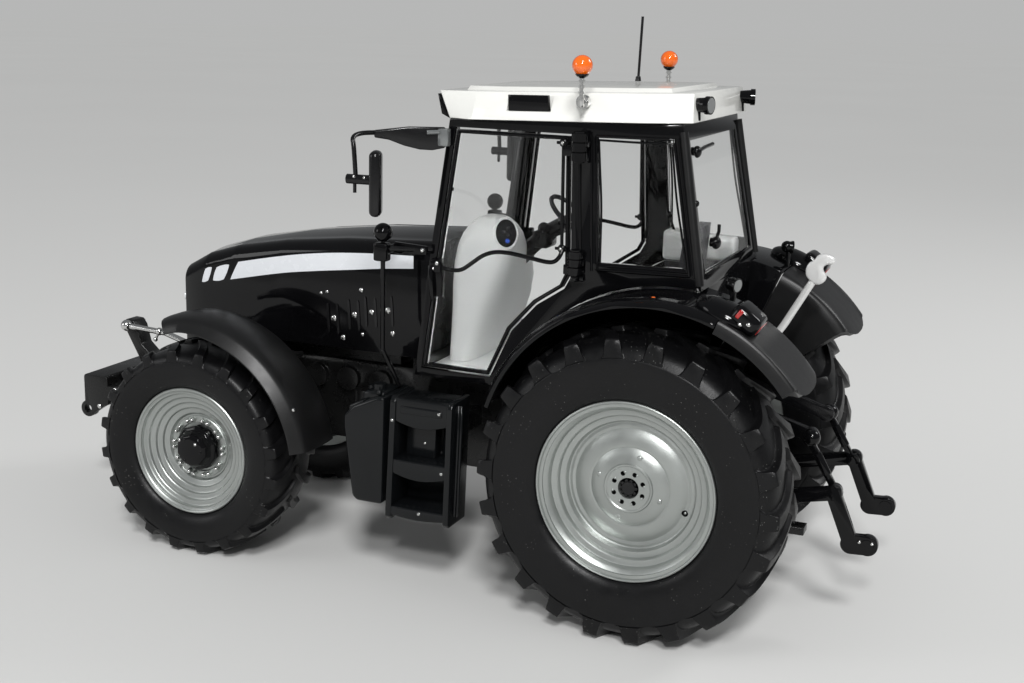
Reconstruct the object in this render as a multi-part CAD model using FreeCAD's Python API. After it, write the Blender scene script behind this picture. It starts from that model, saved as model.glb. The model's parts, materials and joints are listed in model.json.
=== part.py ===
import FreeCAD, Part
import math
import os
from FreeCAD import Vector

# Scale model farm tractor, about 1:32, in millimetres.
# X points forward, Y to the left and Z up. Places are first given from the rear axle, for
# an axle at rearAxleZ. At the end every piece is moved to the middle of the whole length,
# with the tyres on the ground.

# Wheels
wheelbase = 98.0
rearAxleZ = 30.0
rearTyreRadius = 30.0
rearTyreWidth = 19.5
rearRimRadius = 0.5833 * rearTyreRadius
frontTyreRadius = rearTyreRadius * 23 / 30
frontTyreWidth = 16.8
frontWheelY = 27.6
frontRimRadius = 0.6043 * frontTyreRadius
flangeDepth = 0.55
beadDepth = 1.15
beadInset = 1.95
rearBulge = 0.25
frontBulge = 0.0
rearLugHeight = 1.4
frontLugHeight = 1.2
rearLugCount = 22
frontLugCount = 20
rearShaftRadius = 1.7
frontShaftRadius = 1.4
frontAxleZ = rearAxleZ - rearTyreRadius + frontTyreRadius
hubSeatY = 2.6

# Fits and walls
runningGap = 0.05
seatGap = 0.1
glassThick = 0.6
shellThick = 1.0

# Steering
kingpinY = 20.6
kingpinRadius = 0.9
fenderPadX = 3.0
steerArm = 8.0
steerArmDrop = 4.8
tieRodRadius = 0.6
tiePinRadius = 0.5

# Rear fenders
fenderX = -3.0
fenderZ = 32.8
fenderGap = 3.9
fenderRadius = rearTyreRadius + fenderGap
fenderTopZ = fenderZ + fenderRadius
fenderInY = 17.6
fenderPlate = 1.0
rearWheelY = fenderInY + fenderPlate + 0.65 + rearTyreWidth / 2
fenderOutY = rearWheelY + 8.2
frontFenderGap = 5.3
fenderFrontAngle = 17.5
fenderRearAngle = 112.0
extensionRearAngle = 147.0
extensionPlateRadius = 22.3

# Cab, as heights and as x and y of the rear, middle and front pillars
cabWall = 1.3
cabLowZ = 43.6
cabWaistZ = 66.0
cabTopZ = 95.4
pillarTopY = 22.1
cabSections = [
    # z, rear x, rear y, middle x, middle y, front x, front y
    (cabLowZ, -8.0, 23.4, 13.0, 25.2, 49.6, 24.2),
    (cabWaistZ, -8.9, 22.8, 13.3, 25.0, 47.0, 23.7),
    (cabTopZ, -3.4, 21.0, 15.0, 23.7, 43.5, pillarTopY),
]
doorGap = 0.4
doorBorder = 0.75
hingeX = 15.0
hingeY = 26.1
hingePinRadius = 0.45
doorSillZ = 45.2
doorWaistZ = fenderTopZ + 0.3
doorTopZ = 94.0
hingeLevels = [
    # height of a hinge, y where its arm meets the door
    (91.0, 23.2),
    (doorWaistZ + 1.6, 24.2),
]

# Roof, as if level; then it is tipped forward about its front lower edge
roofTopZ = 101.6
roofTip = 1.75
roofRearX = -5.2
roofFrontX = 48.5
roofHalfWidth = 22.6
visorDepth = 4.2

# Beacons
beaconPlace = (14.3, 28.1, 106.9)
beaconRadius = 1.9

# Bonnet
bonnetRearX = 50.5
bonnetBottomZ = 44.5
noseBottomZ = 37.1
bonnetSections = [
    # x, half width, shoulder z, top z
    (bonnetRearX, 15.2, 66.7, 69.9),
    (wheelbase - 26.0, 14.8, 65.6, 68.8),
    (wheelbase - 11.0, 14.3, 63.8, 67.2),
    (wheelbase + 2.0, 13.6, 61.2, 64.9),
    (wheelbase + 10.0, 12.7, 58.5, 62.5),
    (wheelbase + 16.4, 11.2, 54.9, 59.2),
]

# Chassis
gearboxHalfWidth = 8.0
gearboxTopZ = 42.5
engineHalfWidth = 7.0
engineX = (62.0, wheelbase + 2.0)
axleHousingRadius = 4.2

# Tank and steps
wheelSpace = wheelbase - rearTyreRadius - frontTyreRadius
stepX = (rearTyreRadius + 0.142 * wheelSpace, rearTyreRadius + 0.453 * wheelSpace)
tankX = (rearTyreRadius + 0.480 * wheelSpace, rearTyreRadius + 0.698 * wheelSpace)
tankY = (21.5, 33.6)
tankZ = (18.0, 42.6)
stepY = (25.0, 34.0)
stepZ = (15.0, 41.5)
wheelRimFacets = 6

# Rear linkage
linkY = 12.3
linkPivot = (-6.0, 21.5)
hookCentre = (-41.6, 18.2)
linkHeel = (-38.4, 18.0)
hookRadius = 1.0
hookWall = 1.0
linkThick = 1.8
liftPivot = (-13.0, 42.0)
liftEnd = (-28.6, 37.4)
liftShaftRadius = 1.3
rodFoot = (-34.4, 27.6)
linkPinRadius = 0.6
topPivot = (-14.9, 48.6)
topClaw = (-26.6, 67.8)

clawOutline = [
    # distance from the pin's place and turn from the link's line, round the claw's head
    (2.3, 180), (2.4, 140), (2.9, 95), (3.1, 60), (3.0, 25), (3.6, -10), (3.9, -30), (3.1, -42),
    (2.2, -25), (1.9, -60), (1.9, -100), (2.2, -130),
]

# Front linkage
frontBlockX = (wheelbase + 23.0, wheelbase + 32.5)
frontArmPivot = (wheelbase + 30.0, 25.5)
frontArmEnd = (wheelbase + 45.6, 20.6)
frontArmY = 10.2
frontPinRadius = 0.9
towerTip = (wheelbase + 40.2, 40.6)
noseTip = (wheelbase + 20.6, 37.6)

rearReach = -hookCentre[0] + hookRadius + hookWall
frontReach = frontArmEnd[0] + hookRadius + hookWall
toFrame = Vector((rearReach - frontReach) / 2, 0, rearTyreRadius - rearAxleZ)

UP = Vector(0, 0, 1)
LEFT = Vector(0, 1, 0)
FORWARD = Vector(1, 0, 0)


def box(x, y, z):
    """Block between two values on each axis."""
    return Part.makeBox(x[1] - x[0], y[1] - y[0], z[1] - z[0], Vector(x[0], y[0], z[0]))


def outline(points, plane, level):
    """Closed wire of straight lines in plane xz, xy or yz at the given level."""
    place = {
        "xz": lambda a, b: Vector(a, level, b),
        "xy": lambda a, b: Vector(a, b, level),
        "yz": lambda a, b: Vector(level, a, b),
    }[plane]
    vectors = [place(a, b) for a, b in points]
    return Part.makePolygon(vectors + [vectors[0]])


def prism(points, plane, start, end):
    """Outline swept from start to end across its plane."""
    way = {"xz": LEFT, "xy": UP, "yz": FORWARD}[plane]
    return Part.Face(outline(points, plane, start)).extrude(way * (end - start))


def rod(start, end, radius):
    """Round bar between two points."""
    a, b = Vector(*start), Vector(*end)
    return Part.makeCylinder(radius, (b - a).Length, a, b - a)


def cone(start, end, radiusStart, radiusEnd):
    a, b = Vector(*start), Vector(*end)
    return Part.makeCone(radiusStart, radiusEnd, (b - a).Length, a, b - a)


def disc(centre, y, radius):
    """Cylinder along Y about (x, z), between two y values."""
    return Part.makeCylinder(radius, y[1] - y[0], Vector(centre[0], y[0], centre[1]), LEFT)


def ball(centre, radius):
    return Part.makeSphere(radius, Vector(*centre))


def turned(points):
    """Solid turned about the Y axis from points given as radius and y."""
    wire = outline(points, "xy", 0)
    return Part.Face(wire).revolve(Vector(), LEFT, 360)


def mirrored(shape):
    return shape.mirror(Vector(), LEFT)


def both(shape):
    return Part.makeCompound([shape, mirrored(shape)])


def fused(shapes):
    result = shapes[0].fuse(shapes[1:]) if len(shapes) > 1 else shapes[0]
    return result.removeSplitter()


def moved(shape, x, y, z):
    copy = shape.copy()
    copy.translate(Vector(x, y, z))
    return copy


def rounded(shape, radius, wanted):
    """Fillet of the edges that the test wanted picks."""
    edges = [e for e in shape.Edges if wanted(e)]
    return shape.makeFillet(radius, edges) if edges else shape


def along(edge, way):
    """True where a straight edge runs along the given axis."""
    ends = [v.Point for v in edge.Vertexes]
    if len(ends) != 2:
        return False
    d = (ends[1] - ends[0]).normalize()
    return abs(d.dot(way)) > 0.999


# Tyres and rims

lugRows = [
    # y of the top and of the foot as shares of the half width, drop of the top and of the
    # foot below the crown, turn of the back edge, width of the lug, both in radians
    (0.04, 0.03, 0.0, 0.0, -0.006, 0.078),
    (0.48, 0.48, 0.0, 0.0, -0.155, 0.086),
    (0.95, 0.88, 0.4, 0.9, -0.228, 0.096),
]
lugDraft = 0.012
lugEnd = (4.2, -0.238, 0.098)  # drop, turn of the back edge, width


def spun(radius, y, turn):
    """Point at a radius from the Y axis, turned from the top."""
    return Vector(radius * math.sin(turn), y, radius * math.cos(turn))


def facets(corners):
    """Triangles of a three or four cornered facet."""
    a = corners[0]
    return [Part.Face(Part.makePolygon([a, b, c, a])) for b, c in zip(corners[1:], corners[2:])]


def fan(pairs, singles):
    """Facets between a ring of point pairs and a ring of single points."""
    faces = []
    for i, (back, front) in enumerate(pairs):
        j = (i + 1) % len(pairs)
        faces += facets([back, front, singles[i]])
        faces += facets([front, pairs[j][0], singles[j], singles[i]])
    return faces


def lugSide(radius, half, lugHeight, starts, side):
    """Facets of the lugs and of the tread between them on one side, with its two edge rings."""
    lugs = []
    for start in starts:
        rows = []
        for topY, footY, topDrop, footDrop, back, wide in lugRows:
            top, foot = radius - topDrop, radius - lugHeight - footDrop
            rows.append((
                spun(top, side * topY * half, start + back),
                spun(top, side * topY * half, start + back + wide),
                spun(foot, side * footY * half, start + back - lugDraft),
                spun(foot, side * footY * half, start + back + wide + lugDraft),
            ))
        drop, back, wide = lugEnd
        end = [spun(radius - drop, side * half, start + turn) for turn in (back, back + wide)]
        lugs.append((rows, end))
    faces = []
    for i, (rows, end) in enumerate(lugs):
        nextRows, nextEnd = lugs[(i + 1) % len(lugs)]
        for near, far, nextNear, nextFar in zip(rows, rows[1:], nextRows, nextRows[1:]):
            faces += facets([near[0], near[1], far[1], far[0]])
            faces += facets([near[1], near[3], far[3], far[1]])
            faces += facets([near[0], near[2], far[2], far[0]])
            faces += facets([near[3], nextNear[2], nextFar[2], far[3]])
        nose, edge, nextEdge = rows[0], rows[-1], nextRows[-1]
        faces += facets([nose[0], nose[1], nose[3], nose[2]])
        faces += facets([edge[0], edge[1], end[1], end[0]])
        faces += facets([edge[1], edge[3], end[1]]) + facets([edge[0], edge[2], end[0]])
        faces += facets([edge[3], nextEdge[2], nextEnd[0], end[1]])
    return faces, [(rows[0][2], rows[0][3]) for rows, end in lugs], [end for rows, end in lugs]


def tyreSolid(radius, width, rimRadius, lugHeight, lugCount, bulge):
    """Tyre about the Y axis, its middle at y = 0, of flat facets from lug to lug.

    bulge is the depth of the sidewall's extra ring, or 0 for a straight sidewall.
    """
    half = width / 2
    beadY = half - beadInset
    pitch = 2 * math.pi / lugCount
    beadRadius = rimRadius + 2 * runningGap
    seatRadius = (rimRadius - beadDepth) / math.cos(pitch / 2)
    drop, back, wide = lugEnd
    faces, middles, seats = [], [], []
    for side in (1, -1):
        starts = [(i + (0 if side > 0 else 0.5)) * pitch for i in range(lugCount)]
        lugFaces, middle, edge = lugSide(radius, half, lugHeight, starts, side)
        bead = [[spun(beadRadius, side * beadY, start + turn) for turn in (back, back + wide)] for start in starts]
        seat = [spun(seatRadius, side * beadY, start + back + wide / 2) for start in starts]
        faces += lugFaces + fan(bead, seat)
        if bulge:
            ringRadius = (beadRadius + radius - drop) / 2
            ring = [spun(ringRadius, side * (half - bulge), start + back + wide / 2) for start in starts]
            faces += fan(edge, ring) + fan(bead, ring)
        else:
            for i in range(lugCount):
                j = (i + 1) % lugCount
                faces += facets([edge[i][0], edge[i][1], bead[i][1], bead[i][0]])
                faces += facets([edge[i][1], edge[j][0], bead[j][0], bead[i][1]])
        middles.append(middle)
        seats.append(seat)
    for i in range(lugCount):
        j = (i + 1) % lugCount
        (left, right), (leftSeat, rightSeat) = middles, seats
        faces += facets([left[i][0], left[i][1], right[i][0], right[i - 1][1]])
        faces += facets([left[i][1], left[j][0], right[i][1], right[i][0]])
        faces += facets([leftSeat[i], leftSeat[j], rightSeat[i]])
        faces += facets([leftSeat[j], rightSeat[j], rightSeat[i]])
    solid = Part.Solid(Part.Shell(faces))
    return solid if solid.Volume > 0 else solid.reversed()


def rimSolid(rimRadius, width, steps, boreRadius, sleeve):
    """Rim about the Y axis. steps lists radius and y of the outer face from the bore outwards."""
    beadY = width / 2 - beadInset
    flangeY = beadY + flangeDepth
    barrel = rimRadius - beadDepth - runningGap
    inside = barrel - 0.9
    backY = min(y for r, y in steps) - 1.1
    face = [(boreRadius, steps[0][1])] + steps
    face += [(rimRadius - 0.75, flangeY), (rimRadius, flangeY), (rimRadius, beadY + runningGap)]
    back = [
        (barrel, beadY + runningGap), (barrel, -beadY - runningGap),
        (rimRadius, -beadY - runningGap), (rimRadius, -flangeY),
        (inside, -flangeY), (inside, backY),
        (sleeve[0], backY), (sleeve[0], sleeve[1]), (boreRadius, sleeve[1]),
    ]
    return turned(face + back)


def rearRim():
    r = rearRimRadius
    steps = [
        (0.25 * r, 5.2), (0.28 * r, 5.0), (0.64 * r, 3.3), (0.71 * r, 3.3), (0.735 * r, 4.4),
        (0.78 * r, 4.5), (0.8 * r, 5.5), (0.86 * r, 5.6),
    ]
    rim = rimSolid(rearRimRadius, rearTyreWidth, steps, rearShaftRadius + runningGap, (3.4, -3.2))
    nuts = []
    for i in range(8):
        a = math.radians(45 * i)
        nuts.append(disc((3.0 * math.cos(a), 3.0 * math.sin(a)), (4.5, 5.7), 0.42))
    bosses = []
    for i in range(4):
        a = math.radians(45 + 90 * i)
        bosses.append(disc((6.1 * math.cos(a), 6.1 * math.sin(a)), (3.9, 4.9), 0.7))
    rim = rim.cut(Part.makeCompound(nuts))
    return rim.fuse(bosses)


def frontRim():
    r = frontRimRadius
    steps = [
        (0.53 * r, hubSeatY), (0.575 * r, 3.4), (0.73 * r, 3.9), (0.775 * r, 4.8), (0.88 * r, 5.2),
    ]
    return rimSolid(frontRimRadius, frontTyreWidth, steps, frontShaftRadius + runningGap, (3.0, -0.8))


def frontHub():
    """Planetary hub that stands out of the front rim, with its ring of bolts."""
    seatY = hubSeatY + seatGap
    hub = turned([
        (frontShaftRadius + runningGap, seatY), (5.0, seatY), (5.0, 3.9), (4.2, 4.4),
        (4.2, 6.0), (3.5, 6.7), (0, 6.7), (0, 4.5), (frontShaftRadius + runningGap, 4.5),
    ])
    bolts = []
    for i in range(8):
        a = math.radians(45 * i + 20)
        bolts.append(disc((4.62 * math.cos(a), 4.62 * math.sin(a)), (3.5, 4.5), 0.34))
    return fused([hub] + bolts)


def wheels():
    """Solids of the left wheels, each at its place."""
    tyre = tyreSolid(rearTyreRadius, rearTyreWidth, rearRimRadius, rearLugHeight, rearLugCount, rearBulge)
    front = tyreSolid(frontTyreRadius, frontTyreWidth, frontRimRadius, frontLugHeight, frontLugCount, frontBulge)
    return {
        "rear_tyre": moved(tyre, 0, rearWheelY, rearAxleZ),
        "rear_rim": moved(rearRim(), 0, rearWheelY, rearAxleZ),
        "front_tyre": moved(front, wheelbase, frontWheelY, frontAxleZ),
        "front_rim": moved(frontRim(), wheelbase, frontWheelY, frontAxleZ),
        "front_hub": moved(frontHub(), wheelbase, frontWheelY, frontAxleZ),
    }


# Steering

def knuckle():
    """Left steering knuckle: kingpin block, spindle, steering arm and fender bracket."""
    x, z = wheelbase, frontAxleZ
    y = kingpinY
    block = rod((x, y, z - 4.2), (x, y, z + 4.2), 2.0)
    spindle = rod((x, y, z), (x, frontWheelY + 4.3, z), frontShaftRadius)
    collar = rod((x, y, z), (x, frontWheelY - 1.1, z), 2.4)
    armZ = z - steerArmDrop
    arm = box((x - steerArm - 0.9, x + 1.2), (y - 0.9, y + 0.9), (armZ, armZ + 1.3))
    post = rod((x, y, armZ), (x, y, z), 1.6)
    pin = rod((x - steerArm, y, armZ - 1.5), (x - steerArm, y, armZ + 0.2), tiePinRadius)
    pad = box((x - fenderPadX, x), (y - 1.8, y + 1.2), (z + 0.5, z + 3.9))
    bore = rod((x, y, z - 9), (x, y, z + 9), kingpinRadius + runningGap)
    return fused([block, spindle, collar, arm, post, pin, pad]).cut(bore)


def frontFender():
    """Front fender shell about the front wheel, with its strut down to the knuckle."""
    inside = frontTyreRadius + frontFenderGap
    outside = inside + shellThick
    yIn, yOut = kingpinY + 3.1, 37.0
    profile = [
        (inside, yIn), (outside, yIn), (outside + 0.3, yIn + 2.4), (outside + 0.2, yOut - 4.0),
        (outside - 0.9, yOut - 1.2), (outside - 2.6, yOut), (inside - 2.6, yOut - 0.9),
        (inside - 1.1, yOut - 2.2), (inside, yOut - 4.4), (inside + 0.1, yIn + 2.6),
    ]
    face = Part.Face(outline(profile, "xy", 0))
    shell = face.revolve(Vector(), LEFT, -94)
    shell.rotate(Vector(), LEFT, -78)
    plateY = kingpinY - 2.6
    start = -fenderPadX - seatGap
    tip, hold = polar(inside - 1.2, 132), polar(inside + 0.3, 132)
    top, bottom = polar(inside - 3.0, 125), polar(inside - 3.0, 132)
    plate = prism([(start, 0.6), (start, 3.8), top, (tip[0] + 0.5, tip[1] + 0.3), (tip[0] - 0.5, tip[1] - 0.4),
                   bottom, (start - 1.4, 0.6)], "xz", plateY, plateY + 1.0)
    foot = box((start - 1.2, start), (plateY, kingpinY + 1.0), (0.6, 3.8))
    rail = rod((tip[0], plateY, tip[1]), (hold[0], yIn + 1.2, hold[1]), 0.6)
    fender = fused([shell, plate, foot, rail])
    return moved(fender, wheelbase, 0, frontAxleZ)


def tieRod():
    z = frontAxleZ - steerArmDrop - 0.9
    x = wheelbase - steerArm
    bar = rod((x, -kingpinY, z), (x, kingpinY, z), tieRodRadius)
    eye = box((x - 1.2, x + 1.7), (kingpinY - 1.2, kingpinY + 1.1), (z - 0.5, z + 0.5))
    slot = box((x - 0.65, x + 1.15), (kingpinY - 0.65, kingpinY + 0.65), (z - 2, z + 2))
    return fused([bar, eye, mirrored(eye)]).cut(slot).cut(mirrored(slot))


def frontAxle():
    """Axle beam with the forks that hold the kingpins."""
    x, z = wheelbase, frontAxleZ
    y = kingpinY
    beam = rod((x, -y + 4.5, z), (x, y - 4.5, z), 2.4)
    pod = turned([(0.5, -5.0), (2.8, -4.6), (4.4, -2.6), (4.4, 2.6), (2.8, 4.6), (0.5, 5.0)])
    pieces = [beam, moved(pod, x, 0, z)]
    for side in (1, -1):
        web = box((x - 1.6, x + 1.6), sorted((side * (y - 5.6), side * (y - 3.3))), (z - 6.6, z + 6.6))
        pieces.append(web)
        for low, high in ((4.4, 6.0), (-7.6, -5.9)):
            ear = box((x - 1.6, x + 1.6), sorted((side * (y - 5.0), side * (y + 1.6))), (z + low, z + high))
            pieces.append(ear)
        pieces.append(rod((x, side * y, z - 7.4), (x, side * y, z + 5.8), kingpinRadius))
    return fused(pieces)


# Chassis

def gearboxSolid():
    """Plain heavy block of gearbox and engine, with the engine's open sides."""
    w = gearboxHalfWidth
    e = engineHalfWidth
    gearbox = prism([(9, 20), (9, gearboxTopZ), (58, gearboxTopZ), (58, 24), (50, 20)], "xz", -w, w)
    rear, front = engineX
    filterX = (58 + wheelbase - 14) / 2 - 1
    nose = front + 4
    crankcase = prism([(58, 22), (58, 40), (nose, 40), (nose, 28.5), (nose - 14, 28.5), (nose - 20, 22)], "xz", -e, e)
    head = box((rear, front), (-e + 1.2, e - 1.2), (40, 56))
    fan = rod((front, 0, 45), (front + 3, 0, 45), 6.4)
    pieces = [gearbox, crankcase, head, fan]
    for side in (1, -1):
        for share in (0.105, 0.316, 0.526, 0.737):
            x = rear + share * (front - rear)
            pieces.append(rod((x, side * (e - 2), 36), (x, side * (e + 1.4), 36), 2.6))
        pieces.append(rod((rear + 2, side * (e - 0.4), 48), (front - 4, side * (e - 0.4), 48), 1.9))
        pieces.append(rod((filterX, side * (e + 0.8), 26), (filterX, side * (e + 0.8), 34), 2.2))
    return fused(pieces)


def rearAxle():
    """Rear axle housing with its side trumpets and the half shafts."""
    x, z = 0, rearAxleZ
    centre = box((-9.0, 8.8), (-10.5, 10.5), (z - 10, z + 12))
    centre = rounded(centre, 1.5, lambda e: along(e, LEFT))
    inner = rearWheelY - 3.3
    pieces = [centre]
    for side in (1, -1):
        pieces.append(cone((x, side * 10, z), (x, side * 17, z), 6.0, axleHousingRadius))
        pieces.append(rod((x, side * 16, z), (x, side * inner, z), axleHousingRadius))
        pieces.append(rod((x, side * inner, z), (x, side * (rearWheelY + 3.4), z), rearShaftRadius))
        ear = box((liftPivot[0], -8.0), sorted((side * 5.0, side * 7.4)), (liftPivot[1] - 3.4, liftPivot[1]))
        ring = disc(liftPivot, sorted((side * 5.0, side * 7.4)), 2.5)
        pieces += [ear, ring]
    bore = disc(liftPivot, (-9, 9), liftShaftRadius + runningGap)
    return fused(pieces).cut(bore)


def frontFrame():
    """Cast carrier under the bonnet from the engine to the front linkage."""
    z = frontAxleZ
    x = wheelbase
    nose = frontBlockX[0] - seatGap
    inner = engineHalfWidth + seatGap
    rail = prism(
        [(x - 14, z + 5.6), (x + 6.1, z + 5.6), (x + 8, z + 2), (nose, z + 1.0), (nose, z + 12), (x + 10, z + 14),
         (x + 6.1, z + 14), (x + 6.1, z + 9.0), (x - 14, z + 9.0)], "xz", inner, inner + 2.2)
    cross = box((x + 10, nose), (-inner - 2.2, inner + 2.2), (z + 3, z + 8))
    pivot = box((x - 4, x + 4), (-4, 4), (z + 4.5, z + 5.4))
    return fused([rail, mirrored(rail), cross]), pivot


# Bonnet

def bonnetSection(x, half, shoulder, top, bottom, inset):
    """Closed section across the bonnet: flat sides, round shoulders and a crowned top."""
    w = half - inset
    t = top - inset
    s = shoulder - inset
    knee = 0.72 * w
    kneeZ = s + 0.80 * (t - s)
    mid = math.sqrt(0.5)
    a = Vector(x, w, bottom)
    b = Vector(x, w, s)
    bc = Vector(x, knee + (w - knee) * mid, s + (kneeZ - s) * mid)
    c = Vector(x, knee, kneeZ)
    cd = Vector(x, 0, t)
    flip = [Vector(p.x, -p.y, p.z) for p in (a, b, bc, c)]
    edges = [
        Part.makeLine(a, b),
        Part.Arc(b, bc, c).toShape(),
        Part.Arc(c, cd, flip[3]).toShape(),
        Part.Arc(flip[3], flip[2], flip[1]).toShape(),
        Part.makeLine(flip[1], flip[0]),
        Part.makeLine(flip[0], a),
    ]
    return Part.Wire(edges)


def bonnetAt(x):
    """Half width, shoulder height and top height of the bonnet at x."""
    for first, second in zip(bonnetSections, bonnetSections[1:]):
        if first[0] <= x <= second[0]:
            share = (x - first[0]) / (second[0] - first[0])
            return tuple(a + (b - a) * share for a, b in zip(first[1:], second[1:]))


def bulkhead():
    """Plate on the gearbox that closes the bonnet's rear and carries it."""
    x = bonnetRearX + 3.0
    half, shoulder, top = bonnetAt(x)
    wire = bonnetSection(x, half, shoulder, top, gearboxTopZ - 0.2, shellThick + seatGap)
    return Part.Face(wire).extrude(Vector(-1.2, 0, 0))


def bonnetSolid(inset, bottomDrop):
    wires = []
    for x, half, shoulder, top in bonnetSections:
        shift = {bonnetSections[0][0]: -bottomDrop, bonnetSections[-1][0]: -inset}.get(x, 0)
        wires.append(bonnetSection(x + shift, half, shoulder, top, noseBottomZ - bottomDrop, inset))
    return Part.makeLoft(wires, True, True)


def bonnet():
    """Bonnet shell, open below and behind, with the front opening for the grille."""
    shell = bonnetSolid(0, 0).cut(bonnetSolid(shellThick, 1.0))
    sideCut = prism(
        [(bonnetRearX - 1, noseBottomZ - 2), (wheelbase - 2, noseBottomZ - 2), (wheelbase - 5, bonnetBottomZ),
         (bonnetRearX - 1, bonnetBottomZ)], "xz", -20, 20)
    mouth = box((wheelbase + 12, wheelbase + 20), (-7.6, 7.6), (noseBottomZ + 2.2, 54.0))
    return shell.cut(sideCut).cut(mouth)


def grille():
    """Grille panel with its bars, in the nose opening."""
    x = bonnetSections[-1][0] - 1.5
    frame = box((x, x + 1.0), (-7.5, 7.5), (noseBottomZ + 2.3, 53.9))
    openings = []
    rows = 5
    low, high = noseBottomZ + 3.1, 53.1
    step = (high - low) / rows
    for i in range(rows):
        openings.append(box((x - 1, x + 2), (-6.8, -0.4), (low + i * step, low + (i + 1) * step - 0.7)))
        openings.append(box((x - 1, x + 2), (0.4, 6.8), (low + i * step, low + (i + 1) * step - 0.7)))
    return frame.cut(Part.makeCompound(openings))


def headlamps():
    x = bonnetSections[-1][0] + seatGap
    one = rod((x, 9.1, 51.0), (x + 0.9, 9.1, 51.0), 1.2)
    return both(one)


# Cab

def cabLoft(inset, below=0.0, above=0.0):
    """Cab body between its pillars, drawn inwards by inset and run on below and above."""
    low, waist, top = cabSections
    sections = [blend(low, waist, -below), waist, blend(waist, top, above, True)]
    wires = []
    for z, rx, ry, mx, my, fx, fy in sections:
        half = [(rx + inset, ry - inset), (mx, my - inset), (fx - inset, fy - inset)]
        flip = [(x, -y) for x, y in reversed(half)]
        wires.append(outline(half + flip, "xy", z))
    return Part.makeLoft(wires, True, True)


def blend(first, second, shift, fromSecond=False):
    """Section on the line through two sections, shifted in height."""
    height = second[0] - first[0]
    share = (shift / height) + (1 if fromSecond else 0)
    return tuple(a + (b - a) * share for a, b in zip(first, second))


def polar(radius, degrees, centre=(0.0, 0.0)):
    """Point in the xz plane at a radius and an angle above the X axis."""
    a = math.radians(degrees)
    return centre[0] + radius * math.cos(a), centre[1] + radius * math.sin(a)


fenderCentre = (fenderX, fenderZ)
doorSillRadius = fenderRadius + 4.0
doorOpening = [
    (48.1, doorSillZ), (42.1, doorTopZ), (17.4, doorTopZ), (16.3, doorWaistZ),
    polar(fenderRadius + 4.0, 57.2, fenderCentre),
    polar(fenderRadius + 4.5, 47.0, fenderCentre),
    polar(fenderRadius + 4.6, 35.4, fenderCentre),
    (fenderX + math.sqrt(doorSillRadius ** 2 - (doorSillZ - fenderZ) ** 2), doorSillZ),
]
sideSillZ = fenderTopZ + 3.5
rearSillZ = fenderTopZ + 2.3
sideOpening = [(12.6, 93.8), (-1.7, 93.8), (-6.4, sideSillZ), (11.0, sideSillZ)]
rearOpening = [(-17.6, 93.6), (17.6, 93.6), (18.8, rearSillZ), (-18.8, rearSillZ)]
frontOpening = [(-19.6, 94.0), (19.6, 94.0), (21.2, 47.0), (-21.2, 47.0)]


def leafIn(points, plane, gap, start, end, outer, inner):
    """Thin leaf of the cab's skin inside an opening, with a gap all round."""
    face = Part.Face(outline(points, plane, start))
    drawn = min((face.makeOffset2D(way * gap, 2) for way in (1, -1)), key=lambda f: f.Area)
    way = {"xz": LEFT, "yz": FORWARD}[plane]
    block = drawn.extrude(way * (end - start))
    skin = cabLoft(outer, 1, 1).cut(cabLoft(inner, 2, 2))
    return block.common(skin)


def fenderCylinder(radius, y):
    return disc((fenderX, fenderZ), y, radius)


def cabFrame():
    """Pillars, sills and rails round the window openings."""
    shell = cabLoft(0).cut(cabLoft(cabWall, 1, 1))
    cuts = [
        prism(doorOpening, "xz", -40, 40),
        prism(sideOpening, "xz", -40, 40),
        prism(rearOpening, "yz", -20, 0),
        prism(frontOpening, "yz", 30, 60),
    ]
    frame = shell.cut(cuts)
    for y in ((fenderInY - seatGap, 40), (-40, -fenderInY + seatGap)):
        frame = frame.cut(fenderCylinder(fenderRadius + seatGap, y))
    lower = box((-12, 8.9), (-fenderInY - seatGap, fenderInY + seatGap), (cabLowZ - 2, 47.5))
    return fused([frame.cut(lower), topRail(), visorPanel()])


def roofUnderside(x):
    """Height of the tipped roof's lower face at x, less the gap to what carries it."""
    return cabTopZ + (roofFrontX - visorDepth - 0.5 - x) * math.tan(math.radians(roofTip))


def topRail():
    """Rail on the pillars, rising to the rear under the tipped roof."""
    rearX, frontX = cabSections[-1][1], cabSections[-1][5]
    ring = cabLoft(0, 0, 3).cut(cabLoft(cabWall, 1, 4))
    wedge = [(rearX - 3, cabTopZ - 0.5), (frontX, cabTopZ - 0.5), (frontX, roofUnderside(frontX)),
             (rearX - 3, roofUnderside(rearX - 3))]
    return ring.common(prism(wedge, "xz", -40, 40))


def visorPanel():
    """Black panel under the roof's front overhang, on the windscreen's top rail."""
    frontX = cabSections[-1][5]
    leaf = [
        (frontX - 1.2, cabTopZ - 0.8), (frontX + 0.4, cabTopZ - 0.8), (frontX + 3.6, cabTopZ + 0.7),
        (frontX + 4.5, cabTopZ + 4.6), (frontX + 3.95, cabTopZ + 4.6), (frontX + 1.2, cabTopZ - 0.1),
        (frontX - 1.2, cabTopZ - 0.1),
    ]
    return prism(leaf, "xz", -18.2, 18.2)


def cabFloor():
    """Floor with the raised deck between the fenders."""
    inner = cabLoft(cabWall + seatGap)
    floor = box((10, 60), (-30, 30), (cabLowZ + 0.1, cabLowZ + 1.3)).common(inner)
    for y in ((fenderInY - seatGap, 40), (-40, -fenderInY + seatGap)):
        floor = floor.cut(fenderCylinder(fenderRadius + seatGap, y))
    riser = box((10, 11.2), (-17.3, 17.3), (cabLowZ + 0.1, 56.2))
    deck = box((-7.0, 11.2), (-17.3, 17.3), (55.0, 56.2)).common(inner)
    return fused([floor, riser, deck])


def tipped(shape):
    """Roof piece turned forward about the roof's front lower edge."""
    shape.rotate(Vector(roofFrontX - visorDepth, 0, cabTopZ + seatGap), LEFT, roofTip)
    return shape


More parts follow.
